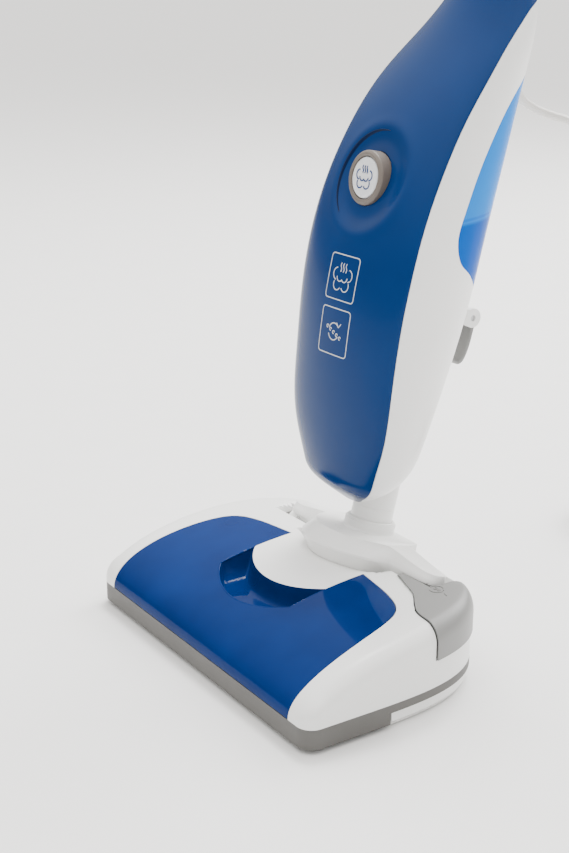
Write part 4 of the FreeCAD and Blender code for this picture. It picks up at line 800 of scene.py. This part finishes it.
def front_v(x, s):
    """v of the body's front at x and s."""
    share = cubic_through(STATIONS[:, 0], STATIONS[:, 3], np.asarray(s, float))
    turn = -np.arccos(np.clip(x / (BODY_HALF * share), -1, 1))
    return body_point(turn, s)[..., 1]


def body_egg(inset, dish=True, rows=190, cols=176):
    """The closed egg: rings from the tip below to the tube socket, closer together near the tip."""
    t = np.linspace(0, 1, rows)
    s = BODY_LOW + inset * 2.2 + (BODY_HIGH - BODY_LOW - inset * 2.2) * (0.62 * t + 0.38 * t ** 2.2)
    turn = np.linspace(-np.pi, np.pi, cols, endpoint=False)
    grid = body_point(turn[None, :], s[:, None], inset, dish)
    size = rows * cols
    ends = np.array([grid[0].mean(axis=0) - [0, 0, 0.8], grid[-1].mean(axis=0)])
    points = np.vstack([grid.reshape(-1, 3), ends])
    ring = np.arange(cols)
    after = (ring + 1) % cols
    low = np.stack([after, ring, np.full(cols, size)], axis=1)
    high = np.stack([ring, after, np.full(cols, size + 1)], axis=1) + [size - cols, size - cols, 0]
    faces = cells(rows, cols, wrap_cols=True).tolist() + low.tolist() + high.tolist()
    return points, faces


def seam_line(shift):
    """The blue cover's rear edge in v, s, from below the body to behind its top."""
    base = [(-21.0, 30.0)] + [(row[2], row[0]) for row in STATIONS[:9]] + SEAM_HIGH
    return smooth_curve(base, 160) + [shift, 0]


def in_front(shift):
    """The closed outline of everything in front of the seam."""
    line = seam_line(shift)
    return np.vstack([line, [(line[-1][0], 560), (-130, 560), (-130, 10), (line[0][0], 10)]])


def tank_outline(shift):
    """The closed outline of everything behind the tank's front edge."""
    return smooth_curve(TANK_EDGE, 150) + [shift, 0]


def prism_v(name, outline, grow=90.0):
    """A cutting prism along x from an outline in v, s, leaned with the body."""
    points, faces = prism(outline, "x", -grow, grow)
    return piece(name, lean(points), faces)


def egg_piece(name, inset, dish=True):
    """The egg as a leaned piece."""
    points, faces = body_egg(inset, dish)
    return piece(name, lean(points), faces)


def rod_piece(point, axis, radius, low, high):
    """A plain closed cylinder to cut with."""
    points, faces = turned([(0, low), (radius, low), (radius, high), (0, high)], point, axis, 72)
    return piece("tool", points, faces)


def button_axis():
    """The button's place and the way it is pressed."""
    return lean([0, BUTTON_V, BUTTON_S]), BACK * math.cos(BUTTON_TILT) + UP * math.sin(BUTTON_TILT)


def make_front_cover():
    """The blue cover: the egg's wall in front of the seam, with the button's hole and the socket."""
    cover = egg_piece("front_shell", 0.0)
    hollow = egg_piece("tool", 2.6)
    top = rod_piece(lean([0, 0, 0]), UP, 40.0, 466, 520)
    carve(hollow, [top])
    hole = rod_piece(*button_axis(), RING_R + 0.3, -14, 12)
    neck = rod_piece(lean([0, 0, 0]), UP, NECK_R + 0.5, 0, 97)
    tube = rod_piece(lean([0, 0, 0]), UP, TUBE_R + 0.05, 460, 520)
    carve(cover, [hollow, hole, neck, tube])
    carve(cover, [prism_v("tool", in_front(-GAP / 2))], "INTERSECT")
    dress(cover, "body", "gloss_blue", "gloss_blue", "front_cover")


def make_rear_shell():
    """The white shell: the egg's wall behind the seam, with the tank's bay, a liner and the neck's way in."""
    shell = egg_piece("rear_casing", 0.0)
    hollow = egg_piece("tool", 2.4)
    carve(hollow, [prism_v("tool", tank_outline(-GAP - 2.2))])
    neck = rod_piece(lean([0, 0, 0]), UP, NECK_R + 0.5, 0, 97)
    spout = rod_piece(lean([0, SPOUT_V, 0]), UP, 15.5, 200, 240)
    bay = prism_v("tool", tank_outline(-GAP))
    carve(shell, [hollow, prism_v("tool", in_front(GAP / 2)), bay, neck, spout])
    dress(shell, "body", "white_shell", "white_shell", "rear_shell")


def make_tank():
    """The tank: the solid egg behind the tank's edge, hollowed, with its spout."""
    tank = egg_piece("tank_shell", 0.0)
    carve(tank, [prism_v("tool", tank_outline(0.0))], "INTERSECT")
    hollow = egg_piece("tool", 2.0)
    carve(hollow, [prism_v("tool", tank_outline(2.0))], "INTERSECT")
    fill = rod_piece(lean([0, SPOUT_V, 0]), UP, 8.0, 205, 236)
    carve(tank, [hollow, fill])
    dress(tank, "tank", "clear_cyan", "clear_cyan", "water_tank")
    spout = rounded([(8.05, 217), (9.6, 217), (9.6, 232), (8.05, 232)], 0.4)
    neck = joined("tank_spout", [turned(np.vstack([spout, spout[:1]]), lean([0, SPOUT_V, 0]), UP, 48)])
    dress(neck, "tank", "clear_cyan", "clear_cyan")


make_front_cover()
make_rear_shell()
make_tank()


# ================================================================ printed and raised marks
def ribbon(points, width, closed=False):
    """A flat strip in its own plane: each point moves half the width to either side of the line."""
    p = np.asarray(points, float)
    ahead = np.roll(p, -1, axis=0) - np.roll(p, 1, axis=0)
    if not closed:
        ahead[0], ahead[-1] = p[1] - p[0], p[-1] - p[-2]
    ahead /= np.linalg.norm(ahead, axis=1)[:, None]
    side = np.stack([-ahead[:, 1], ahead[:, 0]], axis=1) * width / 2
    return np.stack([p - side, p + side], axis=1)


def arc_points(cx, cy, r, start, end, count=16):
    """Points of an arc, its angles in degrees."""
    a = np.radians(np.linspace(start, end, count))
    return np.stack([cx + r * np.cos(a), cy + r * np.sin(a)], axis=1)


def steam_mark(size):
    """Steam: a cloud outline of round bumps with three plumes rising out of it."""
    bumps = [(-5.2, 1.6, 3.4, 95, 265), (-3.6, -4.2, 3.3, 150, 330), (3.6, -4.2, 3.3, 210, 390),
             (5.2, 1.6, 3.4, -85, 85)]
    lines = [arc_points(x, y, r, a, b) for x, y, r, a, b in bumps]
    lines.append(arc_points(-2.1, 0.2, 2.6, 180, 330))
    lines.append(arc_points(2.1, 0.2, 2.6, 210, 360))
    t = np.linspace(0, 1, 14)
    for x in (-2.4, 0.0, 2.4):
        lines.append(np.stack([x + 0.55 * np.sin(2 * np.pi * t), 3.0 + 5.0 * t], axis=1))
    return [line * size / 16.0 for line in lines]


def release_mark(size):
    """A foot and an arrow turning round it: two open arcs, an arrow head and a slanting row of pads."""
    lines = [arc_points(0, 0, 5.0, 40, 160), arc_points(0, 0, 5.0, 200, 330)]
    lines.append(np.array([(2.0, 5.6), (4.2, 3.0), (6.2, 5.4)]))
    for k in range(5):
        lines.append(arc_points(-6.4 + 3.2 * k, 2.2 - 1.3 * k, 0.9, 0, 300, 10))
    return [line * size / 16.0 for line in lines]


def frame_mark(half_w, half_h, corner):
    """A rectangle with round corners."""
    parts = [arc_points(sx * (half_w - corner), sy * (half_h - corner), corner, a, a + 90, 8)
             for sx, sy, a in ((1, 1, 0), (-1, 1, 90), (-1, -1, 180), (1, -1, 270))]
    corners = np.vstack(parts)
    after = np.roll(corners, -1, axis=0)
    t = np.linspace(0, 1, 12, endpoint=False)[None, :, None]
    return (corners[:, None] * (1 - t) + after[:, None] * t).reshape(-1, 2)


def marks(name, lines, width, place, raise_by, closed=()):
    """Strips laid on a surface: place turns flat points and a height into the object's points."""
    parts = []
    for k, line in enumerate(lines):
        strip = ribbon(line, width, k in closed)
        top, low = place(strip, raise_by), place(strip, -0.05)
        parts.append(ring_strip(top, low) if k in closed else walled(top, low))
    return joined(name, parts, 50.0)


def ring_strip(top, low):
    """A closed strip with a top, a bottom and two sides."""
    loop = np.stack([top[:, 0], top[:, 1], low[:, 1], low[:, 0]], axis=1)
    return loop.reshape(-1, 3), cells(len(loop), 4, wrap_rows=True, wrap_cols=True)


def on_front(cx, cs):
    """Places marks on the body's front, their middle at cx, cs."""
    def place(flat, height):
        x, s = flat[..., 0] + cx, flat[..., 1] + cs
        return lean(np.stack([x, front_v(x, s) - height, s], axis=-1))
    return place


def on_plane(origin, right, up, out):
    """Places marks on a plane."""
    def place(flat, height):
        return (np.asarray(origin) + flat[..., :1] * np.asarray(right) + flat[..., 1:2] * np.asarray(up)
                + height * np.asarray(out))
    return place


def make_marks():
    """The printed marks on the blue cover, the steam mark on the button, and the raised ones."""
    print_steam = [frame_mark(17.0, 16.5, 2.6)] + steam_mark(21.0)
    print_hinge = [frame_mark(17.0, 17.0, 2.6)] + release_mark(20.0)
    for name, lines, s in (("steam_print", print_steam, 205.0), ("release_print", print_hinge, 165.0)):
        strip = marks(name, lines, 0.75, on_front(0.5, s), 0.12, closed=(0,))
        dress(strip, "body", "print_grey", "white_shell")
    centre, inward = button_axis()
    up = UP * math.cos(BUTTON_TILT) - BACK * math.sin(BUTTON_TILT)
    face = on_plane(centre - inward * 1.05, (1, 0, 0), up, -inward)
    glyph = marks("button_mark", steam_mark(17.0), 1.0, face, 0.08)
    dress(glyph, "steam_switch", "print_navy", "dark_lens")
    seat = lean([0, -30.5, 15.0])
    raised = marks("collar_mark", release_mark(11.0), 0.9, on_plane(seat, (1, 0, 0), BACK, UP), 0.35)
    dress(raised, "hinge_yoke", "white_shell", "white_shell")

    def on_pedal(flat, height):
        """Lays flat marks on the pedal's top."""
        x, y = 103.0 + flat[..., 0] * 0.8 - flat[..., 1] * 0.5, 52.0 + flat[..., 0] * 0.5 + flat[..., 1] * 0.8
        z = head_height(x, y, -PEDAL_PROUD)
        return np.stack([x, y, z + height], axis=-1)

    foot = [arc_points(0, 0, 5.6, 0, 345, 40), arc_points(-1.2, 0.8, 1.6, 0, 345, 20),
            arc_points(2.2, -1.2, 1.0, 0, 345, 16), np.array([(-10, 7), (-7.4, 3.8)]),
            np.array([(7.6, -4.2), (10.4, -7.2)])]
    dress(marks("pedal_mark", foot, 0.9, on_pedal, 0.4), "foot_pedal", "pedal_grey", "pedal_grey")


def make_crescent():
    """The dark crescent slot in the dish: its half width goes with the sine of the way along it."""
    t = np.linspace(0, 1, 60)
    a = np.radians(84 + 146 * t)
    half = 0.25 + 1.75 * np.sin(np.pi * t) * (1 - 0.45 * t)
    rows = []
    for w in np.linspace(-1, 1, 7):
        r = 36.5 + w * half
        x, s = r * np.cos(a), BUTTON_S + r * np.sin(a)
        sunk = -0.25 + 0.35 * w ** 2
        rows.append(lean(np.stack([x, front_v(x, s) + sunk - 0.12, s], axis=-1)))
    top = np.stack(rows, axis=1)
    low = top + BACK * 1.2
    lens = piece("crescent_lens", *walled(top, low), 60.0)
    dress(lens, "body", "dark_lens", "dark_lens", "indicator_lens")


make_marks()
make_crescent()


# ================================================================ button, neck and handle
def make_button():
    """A dished cap in a softly rounded ring."""
    centre, inward = button_axis()
    cap = rounded([(0, -0.7), (13.2, -1.0), (15.0, -0.2), (15.0, 9.0), (13.2, 9.0), (13.2, 1.4), (0, 1.4)],
                  0.9, 8)
    dress(joined("steam_cap", [turned(cap, centre, inward, 96)]), "steam_switch", "button_white",
          "button_white", "steam_button")
    ring = rounded([(15.5, 10), (15.5, -0.6), (17.6, -1.5), (RING_R, 0.4), (RING_R, 10), (15.5, 10)], 0.9, 8)
    dress(joined("button_bezel", [turned(ring, centre, inward, 96)]), "body", "ring_dark", "ring_dark",
          "button_ring")


def make_neck():
    """The neck: a tube with a fine groove and a seam line, open at both ends."""
    r, hole = NECK_R, NECK_R - 2.5
    profile = rounded([(hole, -8), (r, -8), (r, 33.5), (r - 0.35, 33.9), (r - 0.35, 34.5), (r, 34.9), (r, 96),
                       (hole, 96), (hole, -8)], 0.4)
    neck = joined("neck_pipe", [turned(profile, lean([0, 0, 0]), UP, 96)])
    dress(neck, "body", "white_shell", "white_shell", "neck_tube")


def make_tube():
    """The handle's tube and the ring where it enters the body."""
    r = TUBE_R
    tube = rounded([(r - 1.5, 460), (r, 460), (r, 940), (r - 1.5, 940), (r - 1.5, 460)], 0.3)
    dress(joined("upper_tube", [turned(tube, lean([0, 0, 0]), UP, 80)]), "body", "white_tube", "white_tube",
          "handle_tube")
    ring = rounded([(r + 0.02, 500), (16.8, 500), (16.8, 502), (15.9, 503), (16.8, 504), (16.8, 512),
                    (15.2, 516), (r + 0.02, 516), (r + 0.02, 500)], 0.7)
    dress(joined("tube_ring", [turned(ring, lean([0, 0, 0]), UP, 80)]), "body", "pedal_grey", "pedal_grey",
          "tube_collar")


def make_grip():
    """The D grip: a rounded bar round a closed path, over a sleeve with three rings."""
    path = smooth_curve([(0.5, 956), (-2.5, 985), (-2.5, 1020), (-1.0, 1052), (10, 1073), (33, 1078),
                         (56, 1076), (68, 1061), (63, 1038), (46, 1005), (27, 968), (12, 948)], 120, True)
    ring = np.stack([np.zeros(len(path)), path[:, 0], path[:, 1]], axis=-1)
    loop = swept(lean(ring), (1.0, 0, 0), 12.6, 11.0, True, 36)
    sleeve = rounded([(TUBE_R + 0.05, 900), (16.4, 900), (17.0, 903), (17.0, 908), (16.3, 909), (17.0, 910),
                      (17.0, 915), (16.3, 916), (17.0, 917), (17.0, 938), (15.0, 952), (0.5, 957)], 0.8)
    grip = joined("grip_loop", [loop, turned(sleeve, lean([0, 0, 0]), UP, 80)])
    dress(grip, "body", "gloss_blue", "gloss_blue", "handle_grip")
    pad_path = smooth_curve([(-11.0, 962), (-13.9, 985), (-13.9, 1020), (-12.0, 1046)], 44)
    line = np.stack([np.zeros(len(pad_path)), pad_path[:, 0], pad_path[:, 1]], axis=-1)
    pad = joined("grip_pad", [swept(lean(line), (1.0, 0, 0), 8.5, 1.6, False, 28)])
    dress(pad, "body", "soft_grey", "soft_grey", "grip_insert")


make_button()
make_neck()
make_tube()
make_grip()


# ================================================================ hooks
def make_hooks():
    """Lower hook: a flat bar that leaves its barrel, runs down and turns in. Upper hook: a turning L."""
    stand, s0 = 42.5, 192.0
    path = smooth_curve([(stand + 1, s0 + 2), (stand + 5.0, s0 + 1.5), (stand + 7.2, s0 - 5),
                         (stand + 7.0, s0 - 22), (stand + 5.5, s0 - 34), (stand + 2.2, s0 - 37.5)], 60)
    line = np.stack([np.zeros(len(path)), path[:, 0], path[:, 1]], axis=-1)
    wide = 9.7 - 2.2 * ease(0.55, 1.0, np.linspace(0, 1, len(path)))
    bar = swept(lean(line), (1.0, 0, 0), wide, 2.4, False, 32, 3.4)
    barrel = rounded([(2.6, -9.9), (6.4, -9.9), (6.4, 9.9), (2.6, 9.9)], 0.8)
    ring = turned(np.vstack([barrel, barrel[:1]]), lean([0, stand, s0]), (1, 0, 0), 48)
    dress(joined("cord_hook_low", [bar, ring]), "lower_hook", "pedal_grey", "pedal_grey", "lower_cord_hook")
    y0 = TUBE_R + 4.0
    path = smooth_curve([(y0 + 5.5, 853), (y0 + 5.5, 866), (y0 + 6.5, 878), (y0 + 12, 881.5), (y0 + 17, 883),
                         (y0 + 19.3, 889), (y0 + 19.3, 893.5)], 60)
    line = np.stack([np.zeros(len(path)), path[:, 0], path[:, 1]], axis=-1)
    thick = 5.0 - 2.4 * ease(0.35, 0.6, np.linspace(0, 1, len(path)))
    bar = swept(lean(line), (1.0, 0, 0), 5.8, thick, False, 28, 3.0)
    dress(joined("cord_hook_top", [bar]), "upper_hook", "pedal_grey", "pedal_grey", "upper_cord_hook")


make_hooks()


# ================================================================ pad and brush
def make_pad():
    """The looped pad: a slab whose plan is the head's superellipse, set in by three, with a soft edge
    and loops of uneven height."""
    rows, cols = 150, 150
    u = np.sin(np.linspace(-np.pi / 2, np.pi / 2, cols))[None, :]
    y0, y1 = -22.0, REAR - 3.0
    w = np.sin(np.linspace(-np.pi / 2, np.pi / 2, rows))[:, None]
    y = y0 + (y1 - y0) * (w + 1) / 2 + 0 * u
    x = u * plan_half(y, 3.0)
    edge = np.minimum(1 - np.abs(u), 1 - np.abs(w))
    soft = np.sqrt(np.clip(1 - (1 - np.clip(edge / 0.035, 0, 1)) ** 2, 0, 1))
    loops = 0.35 * np.sin(x * 2.3) * np.sin(y * 2.1) + 0.2 * np.sin(x * 5.1 + y * 1.7)
    high = 2.5 + 2.4 * soft
    low = 2.5 - (2.1 + 0.35 * loops) * soft
    grid_high, grid_low = np.stack([x, y, high], axis=-1), np.stack([x, y, np.maximum(low, 0.0)], axis=-1)
    pad = piece("mop_cloth", *walled(grid_high, grid_low), 80.0)
    dress(pad, "head", "pad_fabric", "pad_fabric", "microfibre_pad")


def make_bristles():
    """Six straight rows of tufts. A tuft is a four-sided cone, splayed a little to either side."""
    centre = np.array(JOINTS["brush_spin"]["pos_m"]) / MM
    xs = np.linspace(-114, 114, 77)
    corner = np.radians([45, 135, 225, 315])
    parts = []
    for k in range(6):
        a = math.radians(60.0 * k + 30)
        out = np.array([0, -math.sin(a), math.cos(a)])
        along = np.array([0, -math.cos(a), -math.sin(a)])
        for j, x in enumerate(xs):
            lean_by = 0.9 * math.sin(j * 2.4 + k)
            foot = [x, centre[1], centre[2]] + out * 8.8
            tip = foot + out * 6.9 + along * lean_by
            ring = [foot + 1.1 * math.cos(c) * np.array([1.0, 0, 0]) + 0.9 * math.sin(c) * along
                    for c in corner]
            crown_ring = [tip + 0.8 * math.cos(c) * np.array([1.0, 0, 0]) + 0.7 * math.sin(c) * along
                          for c in corner]
            faces = [[i, (i + 1) % 4, (i + 1) % 4 + 4, i + 4] for i in range(4)]
            faces += [[4, 5, 6, 7], [3, 2, 1, 0]]
            parts.append((np.array(ring + crown_ring), faces))
    tufts = joined("brush_tufts", parts, 60.0)
    dress(tufts, "brush_roller", "bristle", "bristle", "brush_strips")


make_pad()
make_bristles()


# ================================================================ mains cord
CORD_POINTS = [
    (-20.0, 186.0, 446.0), (-27.0, 212.0, 436.0), (-40.0, 231.0, 418.0), (-54.0, 251.0, 396.0),
    (-63.0, 276.0, 385.5), (-68.0, 300.0, 378.0), (-73.0, 326.0, 372.0), (-77.0, 352.0, 362.0),
    (-80.0, 376.0, 345.0), (-83.0, 395.0, 320.0), (-85.0, 408.0, 286.0), (-86.0, 416.0, 244.0),
    (-87.0, 421.0, 200.0), (-87.0, 424.5, 156.0), (-86.5, 426.0, 116.0), (-85.5, 425.0, 84.0),
    (-84.5, 417.0, 60.0), (-83.5, 402.0, 43.0)]
COIL_X, COIL_Y, COIL_R = -30.0, 396.0, 38.0
COIL_BASE = 4.9
COIL_TURNS = 23
COIL_COLUMNS, COIL_LAYERS = 5, 5
TURN_POINTS = 16


def coil_points():
    """The winding: five turns side by side in each of five layers, spiralling in, then out again.
    The layers go from the top down, and the last one ends at the plug."""
    points = []
    total = COIL_TURNS * TURN_POINTS
    for k in range(TURN_POINTS // 4, total + 1):
        turn_share = k / TURN_POINTS
        layer, place = divmod(turn_share, COIL_COLUMNS)
        place = min(place, COIL_COLUMNS - 1)
        column = COIL_COLUMNS - 1 - place if layer % 2 == 0 else place
        radius = COIL_R + (column - (COIL_COLUMNS - 1) / 2) * 2 * CORD_R
        height = COIL_BASE + (COIL_LAYERS - 1 - layer) * 2 * CORD_R
        a = math.pi + 2 * math.pi * k / TURN_POINTS
        points.append((COIL_X + radius * math.cos(a), COIL_Y + radius * math.sin(a), height))
    return points


def make_cord():
    """The cord from its relief to the plug, as one smooth line with the coil's turns in it."""
    plug_low, plug_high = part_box("mains_plug")
    coil = coil_points()
    plug_y = 0.5 * (plug_low.y + plug_high.y) / MM
    plug_x = plug_low.x / MM
    tail = [(-24.0, plug_y + 0.3, 5.4), (plug_x + 2, plug_y, 7.6), (plug_x + 12, plug_y, 8.0)]
    route = CORD_POINTS + coil + tail
    data = bpy.data.curves.new("mains_lead", "CURVE")
    data.dimensions = "3D"
    line = data.splines.new("NURBS")
    line.points.add(len(route) - 1)
    for point, at in zip(line.points, route):
        point.co = (*[c * MM for c in at], 1)
    line.order_u = 3
    line.use_endpoint_u = True
    line.resolution_u = 4
    data.bevel_depth = CORD_R * MM
    data.bevel_resolution = 5
    data.use_fill_caps = True
    lead = bpy.data.objects.new("mains_lead", data)
    bpy.context.scene.collection.objects.link(lead)
    dress(lead, "body", "cord_white", "cord_white", "mains_cord", "cord_coil")


def make_relief():
    """The strain relief: a tapered sleeve with six grooves round it."""
    start, ahead = np.array(CORD_POINTS[0]), np.array(CORD_POINTS[1])
    way = (ahead - start) / np.linalg.norm(ahead - start)
    profile = [(CORD_R + 0.05, -6.0), (7.3, -6.0), (7.3, 1.0)]
    for k in range(6):
        h = 2.0 + 4.0 * k
        r = 7.1 - 0.42 * k
        profile += [(r, h), (r - 0.1, h + 1.8), (r - 1.3, h + 2.3), (r - 1.3, h + 3.3)]
    profile += [(4.8, 27.0), (CORD_R + 0.05, 27.4), (CORD_R + 0.05, -6.0)]
    sleeve = joined("cord_sleeve", [turned(profile, start, way, 48)])
    dress(sleeve, "body", "cord_white", "cord_white", "strain_relief")


make_cord()
make_relief()


# ================================================================ the other CAD nodes
NODE_MATERIALS = {
    "chassis": "chassis_grey", "bin_tray": "dark_tray", "brush_bearings": "steel", "brush_motor": "steel",
    "drive_belt": "black_rubber", "steam_plate": "steel", "steam_pipe": "steel", "pad_plate": "white_shell",
    "wheel_axles": "steel", "hinge_pins": "steel", "pedal_pin": "steel", "pedal_spring": "spring_steel",
    "chassis_screws": "steel", "brush_core": "dark_tray", "brush_pulley": "chassis_grey",
    "motor_pulley": "steel", "motor_shaft": "steel", "wheel_left": "black_rubber",
    "wheel_right": "black_rubber", "neck_ring": "white_shell", "steam_hose": "black_rubber",
    "boiler": "steel", "pump": "dark_tray", "circuit_board": "board_green", "button_switch": "dark_tray",
    "inlet_valve": "black_rubber", "button_spring": "spring_steel", "hook_bosses": "white_shell",
    "hook_pin": "steel", "upper_hook_clip": "pedal_grey", "cord_tie": "soft_grey",
    "mains_plug": "cord_white", "plug_pins": "steel", "tank_seal": "black_rubber", "tank_cap": "dark_tray",
}
for node_name, material_name in NODE_MATERIALS.items():
    NODES[node_name].data.materials.clear()
    NODES[node_name].data.materials.append(M[material_name])


# ================================================================ floor, light and camera
def make_stage():
    """A wide pale floor."""
    mat, tree, shader, effect = start_material("pale_floor", SKIN, {
        "Grain size": 60.0, "Base roughness": 0.45, "Roughness spread": 0.05})
    tone(tree, effect, shader, (0.85, 0.845, 0.835), (0.88, 0.875, 0.865))
    reach = 40000.0
    points = np.array([(-reach, -reach, 0), (reach, -reach, 0), (reach, reach, 0), (-reach, reach, 0)])
    floor = piece("floor", points, [[0, 1, 2, 3]])
    floor.data.materials.append(mat)


def add_area(name, at, towards, size, power):
    """A soft square light facing a point."""
    data = bpy.data.lights.new(name, "AREA")
    data.size = size
    data.energy = power
    lamp = bpy.data.objects.new(name, data)
    lamp.location = at
    lamp.rotation_euler = (Vector(towards) - Vector(at)).to_track_quat("-Z", "Y").to_euler()
    bpy.context.scene.collection.objects.link(lamp)


def make_light():
    """Soft studio light: a large back light, a top light, a faint front light and a pale surround."""
    add_area("back_light", (-0.5, 2.6, 1.9), (0, 0.1, 0.2), 1.8, 90)
    add_area("top_light", (-0.8, 0.9, 2.6), (0, 0.1, 0.2), 0.9, 85)
    add_area("front_light", (1.8, -1.6, 0.9), (0, 0.1, 0.2), 0.8, 2)
    world = bpy.data.worlds.new("surround")
    world.use_nodes = True
    tree = world.node_tree
    where = tree.nodes.new("ShaderNodeTexCoord")
    split = tree.nodes.new("ShaderNodeSeparateXYZ")
    tree.links.new(where.outputs["Generated"], split.inputs[0])
    ramp = tree.nodes.new("ShaderNodeMapRange")
    ramp.interpolation_type = "SMOOTHSTEP"
    for label, value in (("From Min", 0.0), ("From Max", 0.9), ("To Min", 0.30), ("To Max", 2.6)):
        ramp.inputs[label].default_value = value
    tree.links.new(split.outputs["Z"], ramp.inputs["Value"])
    back = tree.nodes["Background"]
    back.inputs["Color"].default_value = (1.0, 0.985, 0.965, 1)
    tree.links.new(ramp.outputs["Result"], back.inputs["Strength"])
    bpy.context.scene.world = world


def make_camera():
    """The camera: right of the front, above the head, looking down at it."""
    data = bpy.data.cameras.new("camera")
    data.lens = 61.2
    data.sensor_width = 36.0
    data.clip_end = 200.0
    eye = bpy.data.objects.new("camera", data)
    eye.location = (0.847, -0.571, 0.510)
    eye.rotation_euler = (math.radians(71.81), 0, math.radians(56.6))
    bpy.context.scene.collection.objects.link(eye)
    bpy.context.scene.camera = eye


make_stage()
make_light()
make_camera()
